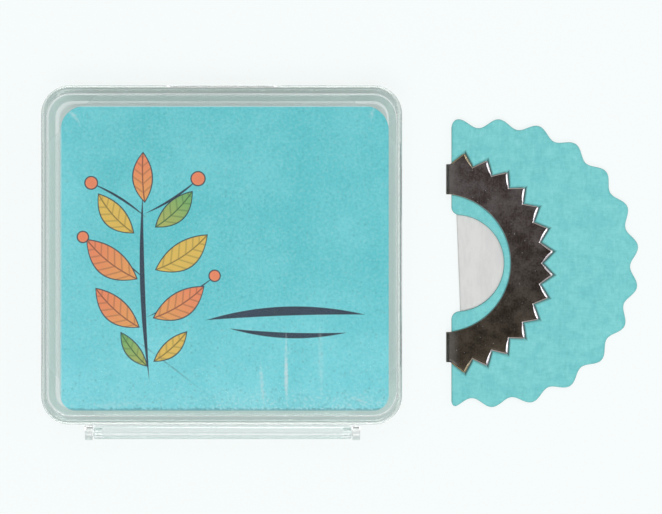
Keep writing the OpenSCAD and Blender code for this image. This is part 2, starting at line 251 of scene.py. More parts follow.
def grid_faces(rows, columns, wrap_rows=False, wrap_columns=False):
    """Quads of a grid of points that is stored row after row, joined end to end where it wraps."""
    row = np.arange(rows if wrap_rows else rows - 1)[:, None]
    column = np.arange(columns if wrap_columns else columns - 1)[None, :]
    next_row, next_column = (row + 1) % rows, (column + 1) % columns
    corners = (
        row * columns + column,
        next_row * columns + column,
        next_row * columns + next_column,
        row * columns + next_column,
    )
    return np.stack(corners, axis=-1).reshape(-1, 4).tolist()


def arc(centre, radius, start, stop, steps=EDGE_STEPS):
    """Points of a circle's arc: the centre plus the radius times cosine and sine of even angles."""
    angle = np.radians(np.linspace(start, stop, steps + 1))
    return np.stack((centre[0] + radius * np.cos(angle), centre[1] + radius * np.sin(angle)), axis=-1)


def rounded_loops(half_x, half_y, front_r, back_r, height):
    """Stacked loops of a rounded rectangle: each corner is a quarter circle about a point one radius inside
    both sides, and even steps along straight lines join the corners."""
    half_x, half_y, front_r, back_r, height = (
        np.asarray(values, float)[:, None] for values in (half_x, half_y, front_r, back_r, height)
    )
    quarter = np.linspace(0, math.pi / 2, CORNER_STEPS + 1)
    share = np.linspace(0, 1, SIDE_STEPS + 1)[1:-1, None]
    corners = []
    for corner, (side_x, side_y) in enumerate(((1, 1), (-1, 1), (-1, -1), (1, -1))):
        turn = quarter + corner * math.pi / 2
        radius = front_r if side_y > 0 else back_r
        x = side_x * (half_x - radius) + radius * np.cos(turn)
        y = side_y * (half_y - radius) + radius * np.sin(turn)
        corners.append(np.stack((x, y), axis=-1))
    runs = []
    for here, ahead in zip(corners, corners[1:] + corners[:1]):
        start, stop = here[:, -1:], ahead[:, :1]
        runs += [here, start + (stop - start) * share]
    flat = np.concatenate(runs, axis=1)
    level = np.broadcast_to(height[..., None], flat.shape[:2] + (1,))
    return np.concatenate((flat, level), axis=-1)


def capped_tube(points):
    """Faces of closed loops joined one to the next, with one flat face over the first and the last."""
    loops, around = points.shape[:2]
    last = (loops - 1) * around
    caps = [list(range(around)), list(range(last + around - 1, last - 1, -1))]
    return grid_faces(loops, around, wrap_columns=True) + caps


def turned_along_x(profile, centre):
    """Loops of a lathed shape: each (x, radius) pair of a profile becomes a circle about a line along X."""
    turn = np.linspace(0, 2 * math.pi, LATHE_STEPS, endpoint=False)
    x, radius = np.asarray(profile).T[..., None]
    return np.stack(
        (
            np.broadcast_to(centre[0] + x, (len(profile), LATHE_STEPS)),
            centre[1] + radius * np.cos(turn),
            centre[2] + radius * np.sin(turn),
        ),
        axis=-1,
    )


def block(low, high):
    """Loops of a box, as two squares that face each other along X."""
    sides = np.array(((low[1], low[2]), (high[1], low[2]), (high[1], high[2]), (low[1], high[2])))
    return np.stack([np.column_stack((np.full(4, x), sides)) for x in (low[0], high[0])])


def join_solids(*solids):
    """One list of points and one of faces for several solids, each given as its loops."""
    points, faces, count = [], [], 0
    for loops in solids:
        points.append(loops.reshape(-1, 3))
        faces += [[count + corner for corner in face] for face in capped_tube(loops)]
        count += points[-1].shape[0]
    return np.concatenate(points), faces


def smooth_step(value, low, high):
    """Goes from 0 to 1 as the value goes from low to high, level at both ends."""
    share = np.clip((value - low) / (high - low), 0, 1)
    return share * share * (3 - 2 * share)


def rows_across(width, first, between, last):
    """Distances of rows across a strip from one edge to the other. The first and the last rows lie at fixed
    distances from their own edges, and the rows between share out what is left evenly."""
    share = np.linspace(0, 1, between + 2)[1:-1, None]
    start, stop = first[-1], last[0]
    middle = start + (width - stop - start) * share
    return np.concatenate((first[:, None] + 0 * width, middle, width - last[:, None]))


def make_mesh(name, points, faces, recalculate=False):
    """A smooth-shaded mesh object, sharp where its faces meet at more than the smooth angle."""
    mesh = bpy.data.meshes.new(name)
    mesh.from_pydata(np.asarray(points).reshape(-1, 3), [], faces)
    if recalculate:
        shape = bmesh.new()
        shape.from_mesh(mesh)
        bmesh.ops.recalc_face_normals(shape, faces=shape.faces)
        shape.to_mesh(mesh)
        shape.free()
    mesh.validate()
    mesh.shade_smooth()
    mesh.set_sharp_from_angle(angle=SMOOTH_ANGLE)
    piece = bpy.data.objects.new(name, mesh)
    bpy.context.scene.collection.objects.link(piece)
    return piece


def set_values(piece, name, values):
    """Stores one number for each point of a mesh, for its material to read."""
    layer = piece.data.attributes.new(name=name, type="FLOAT", domain="POINT")
    layer.data.foreach_set("value", np.ascontiguousarray(values, np.float32).ravel())


def fuse(piece, *solids):
    """Welds solids, each given as points and faces, to a closed mesh, as one moulding."""
    for points, faces in solids:
        extra = make_mesh("welded_on", points, faces, recalculate=True)
        weld = piece.modifiers.new("weld", "BOOLEAN")
        weld.operation = "UNION"
        weld.solver = "EXACT"
        weld.object = extra
        graph = bpy.context.evaluated_depsgraph_get()
        whole = bpy.data.meshes.new_from_object(piece.evaluated_get(graph))
        piece.modifiers.clear()
        plain, piece.data = piece.data, whole
        whole.name = piece.name
        bpy.data.meshes.remove(plain)
        bpy.data.objects.remove(extra)
    piece.data.shade_smooth()
    piece.data.set_sharp_from_angle(angle=SMOOTH_ANGLE)


def finish_piece(piece, body, nodes, material):
    """Gives a piece its material, hangs it on the body that carries it, and hides the nodes that it stands
    for.
    """
    piece.data.materials.clear()
    piece.data.materials.append(material)
    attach(piece, body)
    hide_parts(*nodes)


def feed(tree, socket, value):
    """Gives an input its value: a link where the value is a socket, and else a plain number, vector or
    opaque colour."""
    if isinstance(value, bpy.types.NodeSocket):
        tree.links.new(value, socket)
    elif socket.type == "RGBA":
        socket.default_value = (*value[:3], 1)
    else:
        socket.default_value = value


def set_inputs(tree, node, **inputs):
    """Sets or links a node's inputs by name; an underscore in a name stands for a space."""
    for key, value in inputs.items():
        feed(tree, node.inputs[key.replace("_", " ")], value)


def add_node(tree, kind, inputs=None, **settings):
    """A shader node, with its settings and with its inputs by name or number."""
    made = tree.nodes.new(kind)
    for key, value in settings.items():
        setattr(made, key, value)
    for key, value in (inputs or {}).items():
        feed(tree, made.inputs[key], value)
    return made


def calc(tree, operation, *values, clamp=False):
    """The result of one sum."""
    node = add_node(tree, "ShaderNodeMath", dict(enumerate(values)), operation=operation, use_clamp=clamp)
    return node.outputs[0]


def product(tree, first, *others):
    """Several values multiplied, one after another."""
    for other in others:
        first = calc(tree, "MULTIPLY", first, other)
    return first


def vector_calc(tree, operation, *values):
    """The result of one sum on vectors, which is a number where it measures a length or a distance."""
    outputs = add_node(tree, "ShaderNodeVectorMath", dict(enumerate(values)), operation=operation).outputs
    return outputs["Value" if operation in ("LENGTH", "DISTANCE") else "Vector"]


def split_axes(tree, vector):
    """The X, Y and Z of a vector, as sockets."""
    return add_node(tree, "ShaderNodeSeparateXYZ", {0: vector}).outputs


def ramp(tree, value, low, high, to_low=0.0, to_high=1.0):
    """A value that goes smoothly from one level to another as its input goes from low to high."""
    inputs = {"Value": value, "From Min": low, "From Max": high, "To Min": to_low, "To Max": to_high}
    return add_node(tree, "ShaderNodeMapRange", inputs, interpolation_type="SMOOTHSTEP").outputs["Result"]


def blend_colours(tree, factor, first, second):
    """A mix of two colours, each a socket or a plain colour."""
    return add_node(tree, "ShaderNodeMix", {0: factor, 6: first, 7: second}, data_type="RGBA").outputs[2]


def noise(tree, vector, scale, detail=3.0, roughness=0.55):
    """Soft noise from 0 to 1."""
    inputs = {"Vector": vector, "Scale": scale, "Detail": detail, "Roughness": roughness}
    return add_node(tree, "ShaderNodeTexNoise", inputs).outputs["Fac"]


def stretched(tree, vector, location=(0, 0, 0), turn=0.0, scale=(1, 1, 1)):
    """Coordinates that are moved, turned about Z and scaled."""
    inputs = {"Vector": vector, "Location": location, "Rotation": (0, 0, turn), "Scale": scale}
    return add_node(tree, "ShaderNodeMapping", inputs).outputs["Vector"]


def relief(tree, height, depth, strength):
    """A normal that follows a height from 0 to 1, which stands for a relief of the given depth."""
    inputs = {"Height": height, "Distance": depth, "Strength": strength}
    return add_node(tree, "ShaderNodeBump", inputs).outputs["Normal"]


def stored_value(tree, name):
    """A number that the mesh stores for each of its points."""
    return add_node(tree, "ShaderNodeAttribute", attribute_name=name).outputs["Fac"]


def new_group(name, inputs, outputs):
    """An empty node group with named sockets; colours are given as tuples and vectors as None."""
    group = bpy.data.node_groups.new(name, "ShaderNodeTree")
    for label, default in inputs.items():
        kind = "NodeSocketVector" if default is None else "NodeSocketColor"
        kind = "NodeSocketFloat" if isinstance(default, (int, float)) else kind
        socket = group.interface.new_socket(name=label, in_out="INPUT", socket_type=kind)
        if default is not None:
            socket.default_value = default
    for label, kind in outputs.items():
        group.interface.new_socket(name=label, in_out="OUTPUT", socket_type=kind)
    source = group.nodes.new("NodeGroupInput").outputs
    target = group.nodes.new("NodeGroupOutput").inputs
    return group, source, target


def place_group(tree, group, **inputs):
    """The outputs of a node group that is set into a tree, with its inputs by name."""
    node = add_node(tree, "ShaderNodeGroup", node_tree=group)
    set_inputs(tree, node, **inputs)
    return node.outputs


def uneven_tone_group():
    """Colour that wanders between two tones in broad clouds and fine grain."""
    name = "Uneven Tone"
    if name in bpy.data.node_groups:
        return bpy.data.node_groups[name]
    inputs = {"Vector": None, "Clouds": 0.2, "Grain": 4.0, "Dark": (0, 0, 0, 1), "Light": (1, 1, 1, 1)}
    group, source, target = new_group(name, inputs, {"Color": "NodeSocketColor"})
    clouds = noise(group, source["Vector"], source["Clouds"], 3)
    grain = noise(group, source["Vector"], source["Grain"], 4, 0.65)
    both = calc(group, "ADD", product(group, clouds, 0.6), product(group, grain, 0.4))
    tone = ramp(group, both, 0.36, 0.64)
    group.links.new(blend_colours(group, tone, source["Dark"], source["Light"]), target["Color"])
    return group


def specks_group():
    """A mask of scattered specks: the middles of those cells whose random number falls under the amount."""
    name = "Specks"
    if name in bpy.data.node_groups:
        return bpy.data.node_groups[name]
    inputs = {"Vector": None, "Scale": 1.0, "Amount": 0.1, "Size": 0.2}
    group, source, target = new_group(name, inputs, {"Mask": "NodeSocketFloat"})
    inputs = {"Vector": source["Vector"], "Scale": source["Scale"]}
    cells = add_node(group, "ShaderNodeTexVoronoi", inputs).outputs
    chance = add_node(group, "ShaderNodeSeparateColor", {"Color": cells["Color"]}).outputs[0]
    chosen = calc(group, "LESS_THAN", chance, source["Amount"])
    near = calc(group, "SUBTRACT", 1.0, ramp(group, cells["Distance"], 0.0, source["Size"]))
    group.links.new(product(group, chosen, near), target["Mask"])
    return group


def leaf_group():
    """Masks of one printed leaf, a pointed oval about its middle: half its width is one minus the square of
    the place along it, and its midline bows sideways by the bend times the same. Drawn thin it is a stroke,
    and with a soft edge it draws the scuffs and the painted glints."""
    name = "Leaf Print"
    if name in bpy.data.node_groups:
        return bpy.data.node_groups[name]
    inputs = {
        "Vector": None, "X": 0.0, "Y": 0.0, "Turn": 0.0,
        "Length": 6.0, "Width": 2.0, "Bend": 0.0, "Soft": 0.03,
    }
    outputs = dict.fromkeys(("Shape", "Inside", "Shade", "Along"), "NodeSocketFloat")
    group, source, target = new_group(name, inputs, outputs)
    middle = add_node(group, "ShaderNodeCombineXYZ", {"X": source["X"], "Y": source["Y"]}).outputs[0]
    inputs = {
        "Vector": vector_calc(group, "SUBTRACT", source["Vector"], middle),
        "Angle": product(group, source["Turn"], -1.0),
    }
    turned = add_node(group, "ShaderNodeVectorRotate", inputs, rotation_type="Z_AXIS").outputs[0]
    axes = split_axes(group, turned)
    along = calc(group, "DIVIDE", axes["X"], product(group, source["Length"], 0.5))
    belly = calc(group, "SUBTRACT", 1.0, product(group, along, along))
    across = calc(group, "SUBTRACT", axes["Y"], product(group, source["Bend"], belly))
    sideways = calc(group, "ABSOLUTE", across)
    depth = calc(group, "SUBTRACT", product(group, source["Width"], 0.5, belly), sideways)
    shape = ramp(group, depth, product(group, source["Soft"], -1.0), source["Soft"])
    inside = ramp(group, depth, 0.13, 0.2)
    vein = ramp(group, sideways, 0.06, 0.12, 1.0, 0.0)
    slant = calc(group, "ADD", product(group, axes["X"], 5.0), product(group, sideways, -4.0))
    ribs = product(group, ramp(group, calc(group, "SINE", slant), 0.55, 0.95), 0.45)
    shade = calc(group, "MAXIMUM", vein, ribs)
    for label, socket in zip(outputs, (shape, inside, shade, ramp(group, along, -1.0, 1.0))):
        group.links.new(socket, target[label])
    return group


ToothSizes = namedtuple("ToothSizes", "root_r fan pitch chord_x chord_half tip flank")
# How far inside the chord, as a share of its height, a tooth starts to bend
BEND_START = 0.15


def tooth_sizes(settings):
    """Sizes of one tooth, which stands on the chord between two roots."""
    root_r = settings.inner_r + settings.width
    fan = 2 * math.acos((settings.setback + settings.root_lead) / root_r)
    pitch = fan / settings.teeth
    chord_x, chord_half = root_r * math.cos(pitch / 2), root_r * math.sin(pitch / 2)
    tip = root_r + settings.rise
    return ToothSizes(root_r, fan, pitch, chord_x, chord_half, tip, math.hypot(tip - chord_x, chord_half))


def tooth_depth(settings, x, y):
    """How far each point lies inside the toothed edge, and how far along its tooth from chord to tip it is.
    The depth is the distance to the nearer flank's line in the tooth's own turned coordinates."""
    tooth = tooth_sizes(settings)
    height = tooth.tip - tooth.chord_x
    angle, radius = np.arctan2(y, x), np.hypot(x, y)
    index = np.clip(np.floor((angle + tooth.fan / 2) / tooth.pitch), 0, settings.teeth - 1)
    local = angle - (index + 0.5) * tooth.pitch + tooth.fan / 2
    along, across = radius * np.cos(local), radius * np.sin(local)
    depth = ((tooth.tip - along) * tooth.chord_half - np.abs(across) * height) / tooth.flank
    return depth, (along - tooth.chord_x) / height


def bent_down(settings, along):
    """How far a tooth is bent down at a place along it: evenly more from the start of the bend to the tip."""
    return settings.bend * np.clip(along + BEND_START, 0, 1 + BEND_START) / (1 + BEND_START)


def toothed_edge_group(metal):
    """How far a point lies inside the toothed edge and inside the ring's inner edge, in millimetres, how much
    the nearer flank looks to the right, and how near the point is to the flank's middle. The point's angle
    about the ring's centre leaves a remainder by the pitch, which gives its place on its own tooth; its depth
    is then its distance to the flank's line."""
    name = "Toothed Edge"
    if name in bpy.data.node_groups:
        return bpy.data.node_groups[name]
    outputs = dict.fromkeys(("Depth", "Inside", "Facing", "Middle", "On Ring"), "NodeSocketFloat")
    group, source, target = new_group(name, {"Vector": None}, outputs)
    tooth = tooth_sizes(metal)
    height = tooth.tip - tooth.chord_x
    ring = ((FOLD_X - metal.setback) / MM, CENTRE_Y / MM, 0)
    level = vector_calc(group, "MULTIPLY", vector_calc(group, "SUBTRACT", source["Vector"], ring), (1, 1, 0))
    radius = vector_calc(group, "LENGTH", level)
    axes = split_axes(group, level)
    angle = calc(group, "ARCTAN2", axes["Y"], axes["X"])
    remainder = calc(group, "FLOORED_MODULO", calc(group, "ADD", angle, tooth.fan / 2), tooth.pitch)
    local = calc(group, "SUBTRACT", remainder, tooth.pitch / 2)
    along = product(group, radius, calc(group, "COSINE", local))
    across = product(group, radius, calc(group, "SINE", local))
    to_tip = calc(group, "SUBTRACT", tooth.tip / MM, along)
    to_tip = product(group, to_tip, tooth.chord_half / tooth.flank)
    sideways = product(group, calc(group, "ABSOLUTE", across), height / tooth.flank)
    from_chord = calc(group, "SUBTRACT", along, tooth.chord_x / MM)
    share = calc(group, "DIVIDE", from_chord, height / MM, clamp=True)
    middle = product(group, share, calc(group, "SUBTRACT", 1.0, share), 4.0)
    turned = product(group, calc(group, "SIGN", across), math.atan2(height, tooth.chord_half))
    facing = calc(group, "COSINE", calc(group, "ADD", calc(group, "SUBTRACT", angle, local), turned))
    results = (
        calc(group, "SUBTRACT", to_tip, sideways),
        calc(group, "SUBTRACT", metal.inner_r / MM, radius),
        facing,
        middle,
        calc(group, "LESS_THAN", calc(group, "ABSOLUTE", angle), tooth.fan / 2),
    )
    for label, socket in zip(outputs, results):
        group.links.new(socket, target[label])
    return group


def new_material(name):
    """A new material, its tree, its object coordinates in millimetres, and the shader on its output."""
    material = bpy.data.materials.new(name)
    material.use_nodes = True
    tree = material.node_tree
    tree.nodes.clear()
    place = add_node(tree, "ShaderNodeTexCoord").outputs["Object"]
    millimetres = stretched(tree, place, scale=(1 / MM,) * 3)
    shader = add_node(tree, "ShaderNodeBsdfPrincipled")
    add_node(tree, "ShaderNodeOutputMaterial", {"Surface": shader.outputs[0]})
    return material, tree, millimetres, shader


# Clear plastic: its own colour, that of its shadow, its index of refraction, and the number of turns after
# which a path of light goes straight through
CLEAR_COLOUR = (0.97, 0.985, 0.98)
SHADOW_COLOUR = (0.97, 0.98, 0.98)
PLASTIC_INDEX = 1.49
MOST_TURNS = 4.5


def clear_plastic(name, tint, murk):
    """Clear moulded plastic: faintly wavy faces, fine scratches and smears, and a tint through its depth.
    Lamps shine through it, so that it casts a light shadow."""
    material, tree, place, shader = new_material(name)
    waves = noise(tree, place, 0.35, 2)
    scratches = noise(tree, stretched(tree, place, turn=0.5, scale=(0.4, 9, 1)), 1.0, 2)
    height = calc(tree, "ADD", waves, product(tree, ramp(tree, scratches, 0.62, 0.75), 0.02))
    smears = ramp(tree, noise(tree, place, 0.12, 4), 0.35, 0.7, 0.01, 0.06)
    set_inputs(
        tree, shader, Base_Color=CLEAR_COLOUR, Roughness=smears, IOR=PLASTIC_INDEX,
        Transmission_Weight=1.0, Normal=relief(tree, height, 0.004 * MM, 1.0),
    )
    rays = add_node(tree, "ShaderNodeLightPath").outputs
    through = add_node(tree, "ShaderNodeBsdfTransparent", {"Color": SHADOW_COLOUR}).outputs[0]
    surface = shader.outputs[0]
    caught = calc(tree, "GREATER_THAN", rays["Ray Depth"], MOST_TURNS)
    for ray in (caught, rays["Is Diffuse Ray"], rays["Is Shadow Ray"]):
        surface = add_node(tree, "ShaderNodeMixShader", {0: ray, 1: surface, 2: through}).outputs[0]
    depth = add_node(tree, "ShaderNodeVolumeAbsorption", {"Color": tint, "Density": murk}).outputs[0]
    set_inputs(tree, tree.get_output_node("ALL"), Surface=surface, Volume=depth)
    return material


# Printed leaves of the sprig: X, Y, turn in degrees, length, width, bend, and the name of the fill colour
SPRIG_LEAVES = (
    (-12.6, -13.6, 128, 6.4, 2.2, 0.3, "fresh"),
    (-7.4, -13.2, 42, 6.6, 2.4, -0.3, "sunny"),
    (-15.0, -7.6, 138, 8.6, 3.6, 0.5, "warm"),
    (-6.2, -6.8, 32, 8.8, 3.8, -0.5, "warm"),
    (-15.8, -0.6, 142, 9.4, 4.2, 0.6, "warm"),
    (-5.8, 0.4, 34, 9.2, 4.0, -0.6, "sunny"),
    (-15.2, 6.0, 132, 7.8, 3.4, 0.5, "sunny"),
    (-6.9, 6.6, 44, 7.6, 3.2, -0.4, "fresh"),
    (-11.2, 11.2, 92, 7.4, 3.0, 0.2, "warm"),
)
# Slim strokes: the sprig's stem, a plain tapered flourish at its right, and the berries' stalks
INK_STROKES = (
    (-10.9, -4.6, 92, 27.0, 0.7, 0.5),
    (9.2, -9.0, 2, 23.0, 1.3, 0.9),
    (9.6, -10.9, -2, 17.0, 0.8, -0.7),
    (-14.9, 7.9, -32, 9.4, 0.34, 0.4),
    (-7.2, 8.5, 33, 9.3, 0.34, -0.4),
    (-15.5, -0.5, -34, 11.0, 0.34, 0.4),
    (-5.9, -6.0, 31, 11.6, 0.34, -0.4),
)
# Round berries: X, Y and radius
BERRIES = ((-18.8, 10.4, 1.0), (-3.4, 11.0, 1.1), (-20.0, 2.6, 0.9), (-1.0, -3.0, 0.9))
# Scuffs and creases, and painted glints at the back right: X, Y, turn in degrees, length, width, bend, and
# how strongly they show, below 0 for dark
SCUFFS_AND_GLINTS = (
    (9.3, -16.2, 90, 9.0, 0.4, 0.0, 0.60),
    (9.4, -18.0, 91, 5.0, 0.55, 0.1, 0.50),
    (5.9, -18.6, 95, 6.0, 0.5, 0.1, 0.45),
    (14.3, -15.5, 91, 10.5, 0.6, 0.0, 0.20),
    (-21.4, 19.9, -43, 2.3, 0.5, 0.2, 0.50),
    (21.8, 20.4, 75, 1.7, 0.5, 0.1, 0.40),
    (22.8, 20.7, -35, 1.2, 0.3, 0.1, 0.35),
    (-14.8, -21.6, 2, 9.0, 0.7, 0.0, 0.22),
    # Painted glints at the back right corner, standing for reflections in the lid
    (19.7, -21.0, -16, 2.3, 0.4, 0.1, 0.45),
    (18.3, -21.6, -30, 1.3, 0.35, 0.0, 0.40),
    (-8.2, -15.5, -37, 12.4, 0.2, 0.1, -0.45),
)
# Specks of the print: cells to the millimetre, share that shows, size, strength, and the colour's name
PRINT_SPECKS = ((1.8, 0.35, 0.42, 0.16, "ink"), (2.2, 0.35, 0.42, 0.12, "worn"))
# Half the softness of a printed edge, and the softness of a scuff's edge as a share of its width
PRINT_SOFT = 0.03
SCUFF_SOFT = 0.45


def printed_ground(tree, place, axes, settings):
    """The card's mottled ground, with painted light that makes it lighter towards the hinge and the left
    side, under fine grain and specks that grow stronger towards the hinge."""
    low = CARD_LOW / MM
    # Painted light: the ground turns lighter towards the hinge and towards the left side, as if lit more
    # there
    painted_lighting = ramp(tree, axes["Y"], low.y + 22, low.y, 0, 0.75)
    painted_lighting = calc(tree, "ADD", painted_lighting, ramp(tree, axes["X"], low.x + 8, low.x, 0, 0.4), clamp=True)
    base = blend_colours(tree, painted_lighting, settings.ground, settings.pale)
    ground = place_group(
        tree, uneven_tone_group(), Vector=place, Clouds=0.12, Grain=4.5,
        Dark=blend_colours(tree, 0.09, base, settings.ink),
        Light=blend_colours(tree, 0.08, base, settings.worn),
    )["Color"]
    for spread, amount, size, strength, tone in PRINT_SPECKS:
        specks = place_group(
            tree, specks_group(), Vector=place, Scale=spread, Amount=amount, Size=size
        )["Mask"]
        strength = ramp(tree, axes["Y"], low.y + 25, low.y, strength, 1.7 * strength)
        ground = blend_colours(tree, product(tree, specks, strength), ground, getattr(settings, tone))
    grain = noise(tree, place, 2.6, 2, 0.5)
    ground = blend_colours(tree, ramp(tree, grain, 0.5, 0.3, 0, 0.09), ground, settings.ink)
    return blend_colours(tree, ramp(tree, grain, 0.5, 0.7, 0, 0.10), ground, settings.worn)


def leaf_masks(tree, flat, x, y, turn, size, width, bend, soft=PRINT_SOFT):
    """Masks of one leaf, stroke or scuff at a place on the card, its turn given in degrees."""
    return place_group(
        tree, leaf_group(), Vector=flat, X=x, Y=y, Turn=math.radians(turn),
        Length=size, Width=width, Bend=bend, Soft=soft,
    )


def printed_sprig(tree, flat, picture, settings):
    """The sprig and the flourish over the ground: dark strokes, leaves with dark outlines, veins and ribs
    that turn from one colour to another along their length, and round berries."""
    for stroke in INK_STROKES:
        picture = blend_colours(tree, leaf_masks(tree, flat, *stroke)["Shape"], picture, settings.ink)
    for *leaf, fill in SPRIG_LEAVES:
        masks = leaf_masks(tree, flat, *leaf)
        picture = blend_colours(tree, masks["Shape"], picture, settings.ink)
        tone = Vector(getattr(settings, fill))
        shaded = blend_colours(tree, masks["Along"], tone.lerp(Vector(settings.sunny), 0.45), tone)
        filled = blend_colours(tree, masks["Shade"], shaded, tone * 0.35)
        picture = blend_colours(tree, masks["Inside"], picture, filled)
    for x, y, radius in BERRIES:
        away = vector_calc(tree, "DISTANCE", flat, (x, y, 0))
        outline = ramp(tree, away, radius - PRINT_SOFT, radius + PRINT_SOFT, 1, 0)
        filling = ramp(tree, away, radius - 0.2, radius - 0.13, 1, 0)
        picture = blend_colours(tree, outline, picture, settings.ink)
        picture = blend_colours(tree, filling, picture, settings.warm)
    return picture


def worn_print_and_painted_light(tree, place, flat, axes, picture, settings):
    """Wear and painted light over the print: patchy scuffs and creases with painted glints among them,
    painted highlights along the front and left edges, and at the hinge side an uneven painted shadow and
    chips, pale and dark."""
    low, high = CARD_LOW / MM, CARD_HIGH / MM
    patches = ramp(tree, noise(tree, place, 1.6, 4, 0.65), 0.38, 0.62, 0.35, 1)
    for x, y, turn, size, width, bend, strength in SCUFFS_AND_GLINTS:
        mask = leaf_masks(tree, flat, x, y, turn, size, width, bend, width * SCUFF_SOFT)["Shape"]
        tone = settings.worn if strength > 0 else settings.ink
        picture = blend_colours(tree, product(tree, mask, patches, abs(strength)), picture, tone)
    # Painted highlights: pale rims along the card's front and left edges, where its cut edge would catch the
    # light
    front = ramp(tree, axes["Y"], high.y - 0.2, high.y - 0.05, 0, 0.8)
    left = ramp(tree, axes["X"], low.x + 0.25, low.x + 0.05, 0, 0.5)
    chips = noise(tree, place, 2.6, 3, 0.7)
    # Painted shadow: an uneven dark rim along the hinge side, where the card's edge would shade
    shadow_line_y = calc(tree, "ADD", axes["Y"], ramp(tree, chips, 0.35, 0.65, -0.12, 0.15))
    rubbed = product(
        tree,
        ramp(tree, axes["Y"], low.y + 4.0, low.y + 0.5),
        ramp(tree, axes["X"], low.x + 14, low.x + 26, 0.35, 1),
    )
    for mask, tone in (
        (calc(tree, "MAXIMUM", front, left), settings.worn),
        # painted shadow along the hinge side
        (ramp(tree, shadow_line_y, low.y + 0.45, low.y + 0.15, 0, 0.42), settings.ink),
        (product(tree, rubbed, ramp(tree, chips, 0.50, 0.66, 0.06, 0.34)), settings.worn),
        (product(tree, rubbed, ramp(tree, chips, 0.44, 0.34, 0, 0.09)), settings.ink),
    ):
        picture = blend_colours(tree, mask, picture, tone)
    return picture


def printed_card(settings):
    """Matt printed card: a generic sprig of leaves and berries and a plain flourish on a mottled ground, with
    wear and painted light over them, and a plain underside of bare board."""
    material, tree, place, shader = new_material("printed_card")
    axes = split_axes(tree, place)
    flat = vector_calc(tree, "MULTIPLY", place, (1, 1, 0))
    picture = printed_ground(tree, place, axes, settings)
    picture = printed_sprig(tree, flat, picture, settings)
    picture = worn_print_and_painted_light(tree, place, flat, axes, picture, settings)
    fibres = noise(tree, place, 5.0, 5, 0.6)
    board = blend_colours(tree, ramp(tree, fibres, 0.35, 0.65), settings.board, Vector(settings.board) * 0.9)
    low_z = CARD_LOW.z / MM
    picture = blend_colours(tree, ramp(tree, axes["Z"], low_z + 0.02, low_z + 0.06, 1, 0), picture, board)
    set_inputs(
        tree, shader, Base_Color=picture, Roughness=0.62, Specular_IOR_Level=0.25,
        Normal=relief(tree, fibres, 0.02 * MM, 0.6),
    )
    return material


def tarnished_metal(settings):
    """Dark tarnished sheet metal: brown-grey clouds that turn browner to the back, fine upright brushing,
    small
    bright flecks, a painted sheen beside the fold, and bare metal along the pressed edges under painted
    highlights:
    a bright line that is whiter and wider in the middle of the flanks that look to the right, and gold
    glints, painted reflections, on the edges near the fold."""
    material, tree, place, shader = new_material("tarnished_metal")
    brushing = noise(tree, stretched(tree, place, scale=(9, 0.35, 1)), 1.0, 3)
    axes = split_axes(tree, place)
    centre, fold = CENTRE_Y / MM, FOLD_X / MM
    front = ramp(tree, axes["Y"], centre - 15, centre + 15)
    light = blend_colours(tree, front, settings.brown_light, settings.light)
    dark = blend_colours(tree, front, settings.brown_dark, settings.dark)
    tone = place_group(
        tree, uneven_tone_group(), Vector=place, Clouds=0.45, Grain=3.5, Dark=dark, Light=light
    )["Color"]
    tone = blend_colours(tree, ramp(tree, brushing, 0.45, 0.75, 0, 0.35), tone, light)
    # Painted sheen: lighter tone beside the fold and over the bend
    tone = blend_colours(tree, ramp(tree, axes["X"], fold, fold + 1.6, 0.5, 0.0), tone, settings.tab)
    flecks = place_group(tree, specks_group(), Vector=place, Scale=2.6, Amount=0.07, Size=0.16)["Mask"]
    tone = blend_colours(tree, product(tree, flecks, 0.6), tone, settings.steel)
    teeth = place_group(tree, toothed_edge_group(settings), Vector=place)
    # Painted highlight: the bare edge band is drawn wider mid-flank and brighter where the flank looks to the
    # right
    right = ramp(tree, teeth["Facing"], 0.3, 0.9)
    reach = calc(tree, "ADD", product(tree, teeth["Middle"], right, 0.18), 0.12)
    painted_streak = product(
        tree,
        ramp(tree, teeth["Depth"], 0.01, 0.06),
        ramp(tree, teeth["Depth"], reach, calc(tree, "ADD", reach, 0.07), 1, 0),
        ramp(tree, brushing, 0.2, 0.45, 0.7, 1),
        teeth["On Ring"],
    )
    # The pressed edges' band is painted highlight; the rim attribute's rounded inner edge is bare metal
    bare = calc(tree, "MAXIMUM", painted_streak, stored_value(tree, "rim"))
    bare_and_highlight_tone = blend_colours(tree, right, settings.dull, settings.steel)
    # Painted reflection: the edges of the teeth next to the fold turn gold
    glint_near_fold = ramp(tree, axes["X"], fold + 2, fold + 5, 0.8, 0)
    bare_and_highlight_tone = blend_colours(tree, glint_near_fold, bare_and_highlight_tone, settings.gold_glint)
    dents = calc(tree, "ADD", noise(tree, place, 0.9, 4), product(tree, brushing, 0.25))
    set_inputs(
        tree, shader, Base_Color=blend_colours(tree, bare, tone, bare_and_highlight_tone), Metallic=1.0,
        Roughness=blend_colours(tree, bare, (0.42, 0.42, 0.42), (0.24, 0.24, 0.24)),
        Normal=relief(tree, dents, 0.05 * MM, 0.8),
    )
    return material


# The darker border along the tape's cut edges, partly painted shade at the edge: its width, and what the rim
# attribute reaches in it
SKIRT_BORDER = 0.5 * MM
BORDER_SHARE = 0.3


def crossed_noise(tree, vector, fine, coarse, detail):
    """Two noises like the threads of a weave, one drawn out along Y and one along X."""
    scales = ((fine, coarse, 1), (coarse, fine, 1))
    return [noise(tree, stretched(tree, vector, scale=scale), 1.0, detail) for scale in scales]


